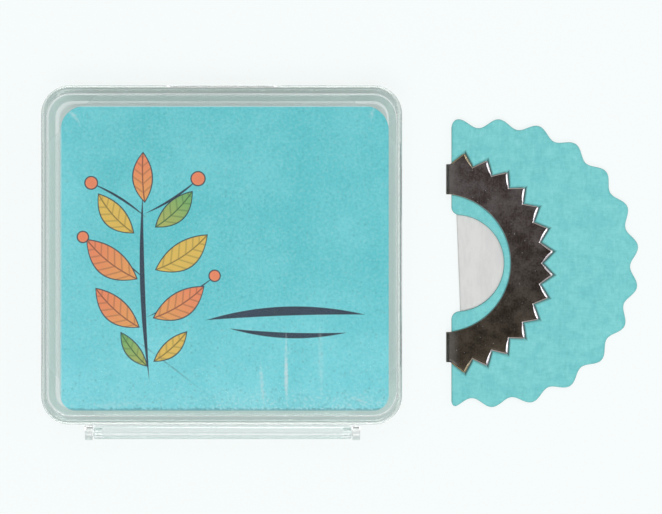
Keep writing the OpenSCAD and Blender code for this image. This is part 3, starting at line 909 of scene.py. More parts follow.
def skirt_tape(name, settings, metal):
    """Matt cloth tape: fine crossed threads and fibres, mottled turquoise, a darker border and cut edge that
    are partly painted shade at its edges, and a painted contact shadow along the metal, strongest beside the
    flanks that look to the right."""
    material, tree, place, shader = new_material(name)
    tone = place_group(
        tree, uneven_tone_group(), Vector=place, Clouds=0.6, Grain=5.0,
        Dark=settings.dark, Light=settings.light,
    )["Color"]
    cloth = calc(tree, "MAXIMUM", *crossed_noise(tree, place, 6, 1.2, 2))
    tone = blend_colours(tree, ramp(tree, cloth, 0.55, 0.8, 0, 0.35), tone, settings.light)
    fibres = calc(tree, "SUBTRACT", *crossed_noise(tree, place, 2.6, 0.8, 3))
    tone = blend_colours(tree, ramp(tree, fibres, 0.04, 0.2, 0, 0.12), tone, settings.worn)
    tone = blend_colours(tree, ramp(tree, fibres, -0.04, -0.2, 0, 0.14), tone, settings.rim)
    rim = stored_value(tree, "rim")
    # Partly painted shade: the border along the cut edges and the rounded cut edge itself are darkened
    tone = blend_colours(tree, ramp(tree, rim, 0, BORDER_SHARE, 0, 0.16), tone, settings.rim)
    tone = blend_colours(tree, ramp(tree, rim, 0.35, 0.9), tone, settings.rim)
    teeth = place_group(tree, toothed_edge_group(metal), Vector=place)
    # Painted shadow: a dark line on the tape beside the teeth and inside the ring, where the metal would
    # shade it
    tooth_contact_shadow = product(
        tree,
        ramp(tree, teeth["Depth"], -0.40, -0.07),
        teeth["On Ring"],
        calc(tree, "LESS_THAN", calc(tree, "ABSOLUTE", teeth["Depth"]), 0.5),
        ramp(tree, teeth["Facing"], 0.0, 0.8, 0.3, 0.85),
    )
    ring_contact_shadow = product(
        tree, ramp(tree, teeth["Inside"], 0.22, 0.03, 0, 0.5), ramp(tree, teeth["Inside"], -0.3, -0.1)
    )
    tone = blend_colours(tree, calc(tree, "MAXIMUM", tooth_contact_shadow, ring_contact_shadow), tone, settings.groove)
    set_inputs(
        tree, shader, Base_Color=tone, Roughness=0.78, Sheen_Weight=0.1, Sheen_Roughness=0.5,
        Normal=relief(tree, cloth, 0.05 * MM, 0.7),
    )
    return material


def milky_film(settings):
    """Thin milky film: faint upright streaks and a soft satin face."""
    material, tree, place, shader = new_material("milky_film")
    streaks = stretched(tree, place, scale=(1, 0.3, 1))
    tone = place_group(
        tree, uneven_tone_group(), Vector=streaks, Clouds=0.5, Grain=2.0,
        Dark=settings.dark, Light=settings.light,
    )["Color"]
    set_inputs(
        tree, shader, Base_Color=tone, Roughness=0.35, Alpha=0.9,
        Normal=relief(tree, noise(tree, streaks, 0.8, 3), 0.05 * MM, 0.5),
    )
    return material


# Small radii of the moulded edges, and the overlap that keeps welded solids from meeting face to face
RIM_R, FILLET_R, SKIN = 0.08 * MM, 0.12 * MM, 0.01 * MM
# The snap: half its length, the bead's radius, how far it stands out, the groove's extra room, and its loops
BEAD_HALF, BEAD_R, BEAD_RISE, GROOVE = 8 * MM, 0.3 * MM, 0.06 * MM, 0.08 * MM
SNAP_STEPS = 4
# The nail scoop: half its length, its depth and its height
SCOOP_HALF, SCOOP_DEPTH, SCOOP_H = 6 * MM, 0.5 * MM, 1.4 * MM
# The hinge: the rail's half length and radii, an ear's gap, width and radii, and a pin's sizes in its bore
RAIL_HALF, RAIL_R, RAIL_END_R = 18.75 * MM, 0.9 * MM, 0.3 * MM
EAR_GAP, EAR_W, EAR_R, EAR_EDGE = 0.15 * MM, 1.1 * MM, 1.05 * MM, 0.15 * MM
PIN_R, PIN_L, PIN_GAP, BORE_L = 0.45 * MM, 1.2 * MM, 0.05 * MM, 1.25 * MM
# The nibs under the card: their reach along each wall, their thickness, and their distance from the card
NIB_LEG, NIB_T, NIB_GAP = 7.2 * MM, 0.3 * MM, 0.1 * MM


def rim_rows(half, front_r, section, back_r=None):
    """Rows of a rounded rectangle for a section of (outward offset, height) pairs. Its back corners are as
    round as its front ones unless their radius is given."""
    out, height = np.asarray(section).T
    back_r = front_r if back_r is None else back_r
    return np.column_stack((half[0] + out, half[1] + out, front_r + out, back_r + out, height))


def case_loops(*sections):
    """Loops of one half of the case, its sections carried round the outline one after another."""
    return rounded_loops(*np.concatenate(sections).T)


def push_front(points, from_y, half_length, low, high, push):
    """Moves points on the straight front wall along Y by an amount that depends on X and Z, in place."""
    x, y, z = points[..., 0], points[..., 1], points[..., 2]
    here = (y > from_y) & (np.abs(x) < half_length) & (z > low) & (z < high)
    y[here] += push(x[here], y[here], z[here])


def snap_rows(radius, rise):
    """The height of the snap's middle, and the places of the loops that follow it from its lower edge to its
    upper one. It covers the height over which a rod of that radius stands out of a wall by that rise."""
    centre = PARTING + (BASE_HIGH.z - PARTING) / 2
    half = math.sqrt(radius**2 - (radius - rise) ** 2)
    return centre, [(0, centre + half * step / SNAP_STEPS) for step in range(-SNAP_STEPS, SNAP_STEPS + 1)]


def make_case_base(settings):
    """The base: floor, wall with a nail scoop, lip with the snap bead, and the bored hinge rail. The scoop is
    cut by an upright cylinder, and the bead is a level rod that is let into the lip."""
    outer, outer_r = (HALF_X, HALF_Y), settings.corner_r
    gap = settings.side_wall + settings.lip_gap
    lip = (HALF_X - gap, HALF_Y - settings.end_wall - settings.lip_gap)
    lip_r = outer_r - gap
    inner = (lip[0] - settings.lip_side, lip[1] - settings.lip_end)
    inner_r = lip_r - settings.lip_side
    top, floor, foot = BASE_HIGH.z, settings.plate, settings.foot_edge
    bead_z, bead_rows = snap_rows(BEAD_R, BEAD_RISE)
    scoop_z = PARTING - SCOOP_H
    loops = case_loops(
        rim_rows(inner, inner_r, arc((-FILLET_R, floor + FILLET_R), FILLET_R, -90, 0)),
        rim_rows(inner, inner_r, arc((RIM_R, top - RIM_R), RIM_R, 180, 90)),
        rim_rows(lip, lip_r, arc((-RIM_R, top - RIM_R), RIM_R, 90, 0)),
        rim_rows(lip, lip_r, bead_rows[::-1]),
        rim_rows(lip, lip_r, [(0, PARTING)]),
        rim_rows(outer, outer_r, arc((-RIM_R, PARTING - RIM_R), RIM_R, 90, 0)),
        rim_rows(outer, outer_r, [(0, scoop_z + SKIN), (0, scoop_z - SKIN)]),
        rim_rows(outer, outer_r, arc((-settings.draft - foot, foot), foot, 0, -90)),
    )
    scoop_r = (SCOOP_HALF**2 + SCOOP_DEPTH**2) / (2 * SCOOP_DEPTH)

    def scoop(x, y, z):
        return np.minimum(0, HALF_Y - SCOOP_DEPTH + scoop_r - np.sqrt(scoop_r**2 - x**2) - y)

    def bead(x, y, z):
        ends = np.clip((BEAD_HALF - np.abs(x)) / BEAD_R, 0, 1)
        across = np.sqrt(np.maximum(0, BEAD_R**2 - (z - bead_z) ** 2))
        return ends * np.maximum(0, across - BEAD_R + BEAD_RISE)

    push_front(loops, lip[1] - SKIN, BEAD_HALF, PARTING + SKIN, top - RIM_R, bead)
    push_front(loops, lip[1] + SKIN, SCOOP_HALF, scoop_z, PARTING + SKIN, scoop)
    piece = make_mesh("clear_base", loops, capped_tube(loops))
    end, bore_r = RAIL_HALF - RAIL_END_R, PIN_R + PIN_GAP
    edge = arc((end, RAIL_R - RAIL_END_R), RAIL_END_R, 90, 0)
    right = np.concatenate((edge, [(RAIL_HALF, bore_r), (RAIL_HALF - BORE_L, bore_r)]))
    rail = np.concatenate((right[::-1] * (-1, 1), right))
    web = block((-end, HINGE.y, HINGE.z - RAIL_R), (end, -HALF_Y + settings.end_wall / 2, PARTING - SKIN))
    fuse(piece, join_solids(web), join_solids(turned_along_x(rail, HINGE)))
    plastic = clear_plastic("clear_base", settings.base_tint, settings.base_murk)
    finish_piece(piece, "case_base", ["case_base"], plastic)


def card_nibs(inner, inner_r):
    """Loops of the four nibs under the card: plates that cross the lid's corners from wall to wall, with
    their own corners cut off where the walls are round."""
    top = CARD_LOW.z - NIB_GAP
    cut = 2 * (inner_r * (1 - math.sqrt(0.5)) - SKIN)
    nibs = []
    for side_x, side_y in ((-1, -1), (-1, 1), (1, -1), (1, 1)):
        corner = np.array((side_x * (inner[0] + SKIN), side_y * (inner[1] + SKIN)))
        steps = ((side_x * cut, 0), (side_x * NIB_LEG, 0), (0, side_y * NIB_LEG), (0, side_y * cut))
        outline = corner - np.array(steps)
        nibs.append(np.stack([np.column_stack((outline, np.full(4, z))) for z in (top, top - NIB_T)]))
    return nibs


def hinge_ears(low, end_wall):
    """Loops of the two ears with their stub pins, lathed about the hinge's line, and of the webs that join
    them to the lid."""
    near = RAIL_HALF + EAR_GAP
    far = near + EAR_W
    right = np.concatenate(
        (
            arc((near - PIN_L + EAR_EDGE / 2, PIN_R - EAR_EDGE / 2), EAR_EDGE / 2, 180, 90),
            [(near, PIN_R)],
            arc((near + EAR_EDGE, EAR_R - EAR_EDGE), EAR_EDGE, 180, 90),
            arc((far - EAR_EDGE, EAR_R - EAR_EDGE), EAR_EDGE, 90, 0),
        )
    )
    lobes = [turned_along_x(right * (side, 1), HINGE) for side in (-1, 1)]
    webs = [
        block(
            (left + SKIN, HINGE.y, low + SKIN),
            (left + EAR_W - SKIN, -HALF_Y + end_wall / 2, HINGE.z + EAR_R - SKIN),
        )
        for left in (-far, near)
    ]
    return lobes, webs


def make_case_lid(settings):
    """The lid: top, walls with the snap's groove, nibs under the card, and two ears with stub pins. The
    groove is cut by a level rod that leaves the bead its room."""
    outer, outer_r = (HALF_X, HALF_Y), settings.corner_r
    inner = (HALF_X - settings.side_wall, HALF_Y - settings.end_wall)
    inner_r = outer_r - settings.side_wall
    low, top, edge = PARTING + settings.parting_gap, LID_HIGH.z, settings.top_edge
    ceiling = top - settings.plate
    reach = BEAD_R - BEAD_RISE + settings.lip_gap + GROOVE
    groove_z, groove_rows = snap_rows(reach, GROOVE)
    outside = case_loops(
        rim_rows(outer, outer_r, arc((-settings.draft - edge, top - edge), edge, 90, 0, 2 * EDGE_STEPS)),
        rim_rows(outer, outer_r, arc((-RIM_R, low + RIM_R), RIM_R, 0, -90)),
    )
    inside = case_loops(
        rim_rows(inner, inner_r, arc((RIM_R, low + RIM_R), RIM_R, -90, -180)),
        rim_rows(inner, inner_r, groove_rows),
        rim_rows(inner, inner_r, arc((-FILLET_R, ceiling - FILLET_R), FILLET_R, 0, 90)),
    )

    def groove(x, y, z):
        across = np.sqrt(np.maximum(0, reach**2 - (z - groove_z) ** 2))
        return np.maximum(0, across - reach + GROOVE)

    push_front(inside, inner[1] - SKIN, BEAD_HALF + settings.lip_gap, low + RIM_R, ceiling - FILLET_R, groove)
    loops = np.concatenate((outside, inside))
    piece = make_mesh("clear_lid", loops, capped_tube(loops))
    lobes, webs = hinge_ears(low, settings.end_wall)
    fuse(piece, join_solids(*webs, *card_nibs(inner, inner_r)), join_solids(*lobes))
    plastic = clear_plastic("clear_lid", settings.lid_tint, settings.lid_murk)
    finish_piece(piece, "case_lid", ["case_lid"], plastic)


def make_card(settings):
    """The card: a thin slab with round corners and softened edges."""
    half = ((CARD_HIGH.x - CARD_LOW.x) / 2, (CARD_HIGH.y - CARD_LOW.y) / 2)
    middle = (CARD_HIGH + CARD_LOW) / 2
    edge = (CARD_HIGH.z - CARD_LOW.z) / 4
    loops = case_loops(
        rim_rows(half, settings.front_r, arc((-edge, CARD_HIGH.z - edge), edge, 90, 0), settings.back_r),
        rim_rows(half, settings.front_r, arc((-edge, CARD_LOW.z + edge), edge, 0, -90), settings.back_r),
    )
    loops += (middle.x, middle.y, 0)
    piece = make_mesh("printed_card", loops, capped_tube(loops))
    finish_piece(piece, "case_lid", ["title_card"], printed_card(settings))


# Columns along each tooth, each tab and each fold
TOOTH_COLUMNS, TAB_COLUMNS, FOLD_COLUMNS = 20, 4, 14
# Distances of rows from the toothed edge, from the ring's inside, and how many rows lie between
EDGE_ROWS = np.array((0, 0.02, 0.06, 0.11, 0.17, 0.23, 0.29, 0.34, 0.4, 0.5, 0.65)) * MM
INNER_ROWS = np.array((0.14, 0.08, 0.04, 0.015, 0)) * MM
BETWEEN_ROWS = 16
# Step from the last tooth root to the tab's outer side, and the radii of the plain edges and the worn tips
TAB_STEP, FRAME_EDGE, TIP_R = 0.22 * MM, 0.06 * MM, 0.3 * MM
# How strongly the rounded inner edge shows bare metal
BARE_EDGE = 0.4


def half_ring(settings):
    """Inner and outer points of the half ring and its tabs, from the lower fold line to the upper one. The
    outer ones run along rays from the ring's centre until they meet a tooth's flank, or the circle that
    touches both flanks near the tip."""
    tooth = tooth_sizes(settings)
    height = tooth.tip - tooth.chord_x
    angle = np.linspace(-tooth.fan / 2, tooth.fan / 2, settings.teeth * TOOTH_COLUMNS + 1)
    from_root = np.abs((angle + tooth.fan / 2 + tooth.pitch / 2) % tooth.pitch - tooth.pitch / 2)
    local = tooth.pitch / 2 - from_root
    to_flank = tooth.tip * tooth.chord_half / (np.sin(local) * height + np.cos(local) * tooth.chord_half)
    centre = tooth.tip - TIP_R * tooth.flank / tooth.chord_half
    round_end = math.atan2(TIP_R * height / tooth.flank, centre + TIP_R * tooth.chord_half / tooth.flank)
    to_circle = centre * np.cos(local) + np.sqrt(np.maximum(0, TIP_R**2 - (centre * np.sin(local)) ** 2))
    reach = np.where(local < round_end, to_circle, to_flank)
    outer = np.stack((reach * np.cos(angle), reach * np.sin(angle)), axis=-1)
    inner_fan = math.acos(settings.setback / settings.inner_r)
    inner_angle = angle * inner_fan / (tooth.fan / 2)
    inner = settings.inner_r * np.stack((np.cos(inner_angle), np.sin(inner_angle)), axis=-1)
    tab_out = math.sqrt(tooth.root_r**2 - (settings.setback + settings.root_lead) ** 2) - TAB_STEP
    step = np.linspace(0, 1, TAB_COLUMNS + 1)[1:, None]
    tab_outer = outer[-1] + (np.array((settings.setback, tab_out)) - outer[-1]) * step
    tab_inner = np.repeat(inner[-1:], TAB_COLUMNS, axis=0)
    flip = (1, -1)
    outer = np.concatenate((tab_outer[::-1] * flip, outer, tab_outer))
    inner = np.concatenate((tab_inner[::-1] * flip, inner, tab_inner))
    return inner, outer


def folded_strip(settings):
    """The sheet that the frame is folded from, column by column all the way round: the column's inner and
    outer point, the direction in which its face looks, and 1 where it has teeth or 0 where it is a fold. A
    fold is half a turn about an axis along Y through the fold line."""
    inner, outer = half_ring(settings)
    columns = len(inner)
    sheet_r = MIDDLE_Z - settings.plate / 2
    turn = np.linspace(0, math.pi, FOLD_COLUMNS + 1)[1:-1]
    flat = np.stack((inner, outer), axis=1) + (FOLD_X - settings.setback, CENTRE_Y)
    tab_y = np.array((inner[-1, 1], outer[-1, 1]))
    runs = []
    for side in (1, -1):
        level = np.full((columns, 2, 1), MIDDLE_Z + side * sheet_r)
        up = np.broadcast_to((0.0, 0.0, float(side)), (columns, 3))
        runs.append((np.concatenate((flat[::side], level), axis=-1), up, np.ones(columns)))
        out = np.stack((-np.sin(turn), np.zeros_like(turn), side * np.cos(turn)), axis=-1)
        fold = np.empty((len(turn), 2, 3))
        fold[:] = (FOLD_X, 0, MIDDLE_Z)
        fold[..., 1] += CENTRE_Y + side * tab_y
        fold += sheet_r * out[:, None]
        runs.append((fold, out, np.zeros(len(turn))))
    return [np.concatenate(parts) for parts in zip(*runs)]


def make_frame(settings):
    """The folded frame: one closed strip of sheet that runs round the upper half ring, over one fold, back
    round the lower half ring and over the other fold. Its section is carried along it: the teeth bend towards
    the tape, the inner edge is a quarter circle, and the face slopes off along the toothed edge by three
    quarters of the nearness to the edge and a quarter of its cube."""
    ends, up, toothed = folded_strip(settings)
    in_point, out_point = ends[:, 0], ends[:, 1]
    width = np.linalg.norm(out_point - in_point, axis=1)
    from_out = rows_across(width, EDGE_ROWS, BETWEEN_ROWS, INNER_ROWS)
    place = out_point + (in_point - out_point) * (from_out / width)[..., None]
    from_ring = (place[..., 0] - (FOLD_X - settings.setback), place[..., 1] - CENTRE_Y)
    depth, along = tooth_depth(settings, *from_ring)
    depth = np.where(toothed > 0, np.minimum(np.maximum(depth, 0), from_out), from_out)
    bend = bent_down(settings, along) * toothed
    slope_w = np.where(toothed > 0, settings.slope_w, FRAME_EDGE)
    slope_h = np.where(toothed > 0, settings.slope_h, FRAME_EDGE)
    near = np.clip(1 - depth / slope_w, 0, 1)
    slope = slope_h * (0.75 * near + 0.25 * near**3) * np.clip(near * 6, 0, 1)
    inside = np.clip(1 - (width - from_out) / FRAME_EDGE, 0, 1)
    drop = np.maximum(slope, FRAME_EDGE * (1 - np.sqrt(1 - inside**2)))
    half = settings.plate / 2
    face = place + up * (half - drop - bend)[..., None]
    back = place + up * (-half - bend)[..., None]
    points = np.concatenate((face, back[::-1]))
    rows, around = points.shape[:2]
    piece = make_mesh("toothed_frame", points, grid_faces(rows, around, True, True), recalculate=True)
    rim = BARE_EDGE * inside
    set_values(piece, "rim", np.concatenate((rim, 0 * rim)))
    finish_piece(piece, "call", ["reed_frame"], tarnished_metal(settings))


# Radius of the skirt's corners at its straight edge, and of its cut edges
SKIRT_CORNER_R, SKIRT_ROUND = 0.8 * MM, 0.14 * MM
# Columns to a scallop, and rows: their distances from a cut edge, how many lie between, and on the back
SCALLOP_COLUMNS = 44
SKIRT_EDGE_ROWS = np.array((0, 0.02, 0.05, 0.1, 0.16, 0.25)) * MM
SKIRT_ROWS, SKIRT_BACK_ROWS = 58, 8
# How far a layer's inner face stays off the call's middle, and how far and in what waves the outer wanders
INNER_GAP = 0.004 * MM
WANDER = 0.012 * MM
WAVE_X, WAVE_Y, WAVE_SLANT = 1.9 * MM, 2.3 * MM, 1.1 * MM
# How far outside the teeth the metal still keeps the tape from wandering
COVERED_OUT = 0.3 * MM
# Under the metal the tape lies lower by this gap, and it dips over these widths at the teeth and the ring
SEAT_GAP, TEETH_DIP, RING_DIP = 0.03 * MM, 0.22 * MM, 0.2 * MM
# Beside the metal it swells: height, width, and distance from the teeth and from the ring's inside
SWELL, SWELL_W, SWELL_OUT, SWELL_IN = 0.03 * MM, 0.3 * MM, 0.45 * MM, 0.4 * MM
# Over the membrane it steps up: height, and where the step starts and ends about the membrane's edge
FILM_STEP, STEP_OUT, STEP_IN = 0.03 * MM, 0.2 * MM, 0.1 * MM
FILM_MIDDLE = (FILM_LOW + FILM_HIGH) / 2


def scalloped_edge(settings, count):
    """Outer edge of the skirt, from one end of its straight edge to the other. The radius swings as a cosine
    of the angle about half a circle; past it the swing runs on along a straight shoulder, whose corner is
    drawn in by a quarter circle."""
    shoulder = FOLD_X + settings.centre_in - SKIRT_LOW.x
    last = math.pi / 2 + shoulder / settings.outer_r
    angle = np.linspace(-last, last, count)
    bent = np.clip(angle, -math.pi / 2, math.pi / 2)
    radius = settings.outer_r + settings.rise / 2 * np.cos(settings.scallops * (angle - settings.turned))
    x = FOLD_X + settings.centre_in + radius * np.cos(bent) - settings.outer_r * np.abs(angle - bent)
    from_corner = np.clip((x - SKIRT_LOW.x) / SKIRT_CORNER_R, 0, 1)
    drawn_in = SKIRT_CORNER_R * (1 - np.sqrt(1 - (1 - from_corner) ** 2))
    return np.stack((x, CENTRE_Y + radius * np.sin(bent) - np.sign(bent) * drawn_in), axis=-1)


def mouth_edge(settings, count):
    """Inner edge of the skirt: most of a circle, opened by an arc at each end into the straight edge, and
    walked at an even pace."""
    mouth_x = SKIRT_LOW.x + settings.mouth_in
    flare_x = SKIRT_LOW.x + settings.flare_r
    flare_y = math.sqrt((settings.mouth_r + settings.flare_r) ** 2 - (flare_x - mouth_x) ** 2)
    end = math.atan2(flare_y, flare_x - mouth_x)
    arcs = np.array((settings.flare_r, 2 * settings.mouth_r, settings.flare_r)) * end
    start = np.concatenate(((0,), np.cumsum(arcs)))
    walked = np.linspace(0, start[-1], count)
    which = np.clip(np.searchsorted(start, walked, side="right") - 1, 0, 2)
    angle = (walked - start[which]) / arcs[which] * end * np.array((1, 2, 1))[which]
    angle = np.choose(which, (math.pi - angle, angle - end, math.pi + end - angle))
    radius = np.array((settings.flare_r, settings.mouth_r, settings.flare_r))[which]
    centre_x = np.array((flare_x, mouth_x, flare_x))[which]
    centre_y = np.array((-flare_y, 0, flare_y))[which]
    x = centre_x + radius * np.cos(angle)
    y = CENTRE_Y + centre_y + radius * np.sin(angle)
    return np.stack((x, y), axis=-1)


def pressed_in(x, y, metal, film):
    """How far the tape's face lies under its flat height: pressed down by the frame and its bent teeth,
    swollen in bell curves beside them, and raised where the membrane lies inside."""
    from_ring = (x - FOLD_X + metal.setback, y - CENTRE_Y)
    radius = np.hypot(*from_ring)
    depth, along = tooth_depth(metal, *from_ring)
    under = smooth_step(depth, -TEETH_DIP, 0) * smooth_step(metal.inner_r - radius, RING_DIP, 0)
    beside = np.exp(-(((depth + SWELL_OUT) / SWELL_W) ** 2))
    beside += np.exp(-(((metal.inner_r - radius - SWELL_IN) / SWELL_W) ** 2))
    from_x, from_y = x - FILM_MIDDLE.x, y - FILM_MIDDLE.y
    u = from_x * math.cos(film.tilt) + from_y * math.sin(film.tilt)
    v = from_y * math.cos(film.tilt) - from_x * math.sin(film.tilt)
    film_depth = np.minimum(film.width / 2 - np.abs(u), film.span / 2 - np.abs(v))
    ridge = smooth_step(film_depth, -STEP_OUT, STEP_IN) * FILM_STEP
    return under * (SEAT_GAP + bent_down(metal, along)) - (1 - under) * (beside * SWELL + ridge)


def make_skirt(name, node, side, settings, metal, film):
    """One layer of the skirt, ruled between the mouth's edge and the scalloped edge. Its outer face follows
    what presses on it and wanders a little in crossed sine waves, its inner face is flat, and its cut edges
    are rounded by a quarter circle."""
    shoulder = (FOLD_X + settings.centre_in - SKIRT_LOW.x) / settings.outer_r
    turns = (math.pi + 2 * shoulder) / (2 * math.pi)
    columns = int(round(turns * settings.scallops * SCALLOP_COLUMNS)) + 1
    inner, outer = mouth_edge(settings, columns), scalloped_edge(settings, columns)
    width = np.linalg.norm(outer - inner, axis=1)
    from_inner = rows_across(width, SKIRT_EDGE_ROWS, SKIRT_ROWS, SKIRT_EDGE_ROWS[::-1])
    place = inner + (outer - inner) * (from_inner / width)[..., None]
    x, y = place[..., 0], place[..., 1]
    to_edge = np.minimum(np.minimum(from_inner, width - from_inner), x - SKIRT_LOW.x)
    near = np.clip(1 - to_edge / SKIRT_ROUND, 0, 1)
    rounding = SKIRT_ROUND * (1 - np.sqrt(1 - near**2))
    waves = np.sin(x / WAVE_X + side) * np.cos(y / WAVE_Y) + np.sin((x + y) / WAVE_SLANT + 2 * side)
    depth = tooth_depth(metal, x - FOLD_X + metal.setback, y - CENTRE_Y)[0]
    free = 1 - smooth_step(depth, -COVERED_OUT, 0)
    height = settings.layer - pressed_in(x, y, metal, film) - rounding + WANDER * waves * free
    front = np.concatenate((place, (MIDDLE_Z + side * height)[..., None]), axis=-1)
    back_share = np.linspace(1, 0, SKIRT_BACK_ROWS)[:, None]
    back_flat = inner + (outer - inner) * (back_share * np.ones_like(width))[..., None]
    back_z = np.full(back_flat.shape[:2] + (1,), MIDDLE_Z + side * INNER_GAP)
    back = np.concatenate((back_flat, back_z), axis=-1)
    points = np.concatenate((front, back))
    rows = len(points)
    start = [row * columns for row in range(rows)]
    caps = [start[::-1], [corner + columns - 1 for corner in start]]
    piece = make_mesh(name, points, grid_faces(rows, columns, wrap_rows=True) + caps, recalculate=True)
    # The rim attribute carries the rounded cut edge and the border along it, which the tape's material
    # darkens, partly as painted shade
    border = BORDER_SHARE * np.clip(1 - to_edge / SKIRT_BORDER, 0, 1)
    set_values(piece, "rim", np.concatenate((np.maximum(near, border), np.ones(back_flat.shape[:2]))))
    finish_piece(piece, "call", [node], skirt_tape(name, settings, metal))


# Points across and along the membrane
FILM_STEPS = (36, 110)
# How far it hangs slack and over what width from the mouth's edge, and its ripples' height, wave and reach
SLACK, SLACK_EDGE = 0.03 * MM, 3 * MM
RIPPLE, RIPPLE_WAVE, RIPPLE_REACH = 0.02 * MM, 0.9 * MM, 3 * MM


def make_film(settings, skirt):
    """The membrane: a flat strip, tilted a little, that hangs slack by a hair in the mouth. The slack is a
    smooth dip over the mouth, with cosine ripples across it that die away from the free edge."""
    u = np.linspace(-0.5, 0.5, FILM_STEPS[0]) * settings.width
    v = np.linspace(-0.5, 0.5, FILM_STEPS[1]) * settings.span
    u, v = np.meshgrid(u, v)
    x = FILM_MIDDLE.x + u * math.cos(settings.tilt) - v * math.sin(settings.tilt)
    y = FILM_MIDDLE.y + u * math.sin(settings.tilt) + v * math.cos(settings.tilt)
    mouth_x = SKIRT_LOW.x + skirt.mouth_in
    open_share = smooth_step(skirt.mouth_r - np.hypot(x - mouth_x, y - CENTRE_Y), 0, SLACK_EDGE)
    ripples = np.cos(v / RIPPLE_WAVE) * np.exp(-((u + settings.width / 2) / RIPPLE_REACH))
    z = MIDDLE_Z - open_share * (SLACK + RIPPLE * ripples)
    faces = grid_faces(FILM_STEPS[1], FILM_STEPS[0])
    piece = make_mesh("milky_film", np.stack((x, y, z), axis=-1), faces, recalculate=True)
    body = piece.modifiers.new("thickness", "SOLIDIFY")
    body.thickness = settings.thick
    body.offset = 0
    finish_piece(piece, "call", ["reed_membrane"], milky_film(settings))


# Half the side of the floor, in metres, and the colour of the even light all round
FLOOR_HALF = 1.5
SKY_COLOUR = (0.96, 0.98, 1.0)
# The high lamps: how far left of the object's middle they hang, how far to its front or back, and how high
HIGH_LEFT, HIGH_OUT, HIGH_UP = 60 * MM, 450 * MM, 900 * MM
RIM_PLACE = (390 * MM, 0, 340 * MM)
HIGH_SIZE, RIM_SIZE = (600 * MM, 360 * MM), (400 * MM, 150 * MM)


def pale_floor(settings):
    """The floor's material. Most of the colour that the camera, gloss and glass see is its own, and the rest
    is lit, so that the object's shadow stays, only lighter."""
    material, tree, _, shader = new_material("pale_floor")
    set_inputs(tree, shader, Base_Color=settings.floor, Roughness=0.9, Specular_IOR_Level=0.0)
    rays = add_node(tree, "ShaderNodeLightPath").outputs
    mirrored = calc(tree, "SUBTRACT", rays["Is Glossy Ray"], rays["Is Transmission Ray"], clamp=True)
    open_air = calc(tree, "MAXIMUM", rays["Is Camera Ray"], mirrored)
    inside = product(tree, rays["Is Transmission Ray"], settings.glow_inside)
    share = calc(tree, "MAXIMUM", product(tree, open_air, settings.glow), inside)
    glow = add_node(tree, "ShaderNodeEmission", {"Color": settings.floor, "Strength": 1.0}).outputs[0]
    both = add_node(tree, "ShaderNodeMixShader", {0: share, 1: shader.outputs[0], 2: glow}).outputs[0]
    set_inputs(tree, tree.get_output_node("ALL"), Surface=both)
    return material


def make_floor(settings):
    """A wide pale floor."""
    corners = [(x * FLOOR_HALF, y * FLOOR_HALF, 0) for x, y in ((-1, -1), (1, -1), (1, 1), (-1, 1))]
    floor = make_mesh("floor", corners, [[0, 1, 2, 3]])
    floor.data.materials.append(pale_floor(settings))


def add_lamp(name, place, target, size, power):
    """A rectangular lamp that looks at a point."""
    lamp = bpy.data.lights.new(name, "AREA")
    lamp.shape = "RECTANGLE"
    lamp.size, lamp.size_y = size
    lamp.energy = power
    holder = bpy.data.objects.new(name, lamp)
    holder.location = place
    holder.rotation_euler = (Vector(target) - Vector(place)).to_track_quat("-Z", "Y").to_euler()
    bpy.context.scene.collection.objects.link(holder)


def make_sky(settings):
    """Even pale light all round, seen as near white by the camera and dimmer through plastic."""
    world = bpy.data.worlds.new("pale_room")
    bpy.context.scene.world = world
    world.use_nodes = True
    tree = world.node_tree
    tree.nodes.clear()
    rays = add_node(tree, "ShaderNodeLightPath").outputs
    inside = product(tree, rays["Is Transmission Ray"], settings.sky_inside)
    seen = calc(tree, "MAXIMUM", rays["Is Camera Ray"], inside)
    even, backdrop = (
        add_node(tree, "ShaderNodeBackground", {"Color": tone, "Strength": strength}).outputs[0]
        for tone, strength in ((SKY_COLOUR, settings.sky), (settings.floor, 1.0))
    )
    both = add_node(tree, "ShaderNodeMixShader", {0: seen, 1: even, 2: backdrop}).outputs[0]
    add_node(tree, "ShaderNodeOutputWorld", {"Surface": both})


def make_stage(settings):
    """Camera straight above, a pale floor, a large soft lamp high on the hinge side, a weaker one across from
    it, and a low one at the right, at the height from which the pressed edges of the teeth catch it."""
    middle = (CAD_BOX[0] + CAD_BOX[1]) / 2
    camera = bpy.data.objects.new("camera", bpy.data.cameras.new("camera"))
    camera.location = (middle.x - settings.left, middle.y + settings.ahead, settings.height)
    camera.data.lens = camera.data.sensor_width * (settings.height - settings.focus_z) / settings.span
    camera.data.clip_start, camera.data.clip_end = 10 * MM, 10
    bpy.context.scene.collection.objects.link(camera)
    bpy.context.scene.camera = camera
    bpy.context.scene.view_settings.view_transform = "Standard"
    make_floor(settings)
    make_sky(settings)
    target = (middle.x, middle.y, 0)
    lamp_x = middle.x - HIGH_LEFT
    add_lamp("key_lamp", (lamp_x, -HIGH_OUT, HIGH_UP), target, HIGH_SIZE, settings.key)
    add_lamp("fill_lamp", (lamp_x, HIGH_OUT, HIGH_UP), target, HIGH_SIZE, settings.fill)
    add_lamp("rim_lamp", RIM_PLACE, target, RIM_SIZE, settings.rim)


class BirdCallOperator:
    """What the operators of this add-on share"""

    bl_options = {"REGISTER", "UNDO"}


class BIRDCALL_OT_stage(BirdCallOperator, bpy.types.Operator):
    """Sets up the camera, the floor and the lamps"""

    bl_idname = "birdcall.stage"
    bl_label = "Stage"

    def execute(self, context):
        make_stage(context.scene.birdcall_stage)
        return {"FINISHED"}


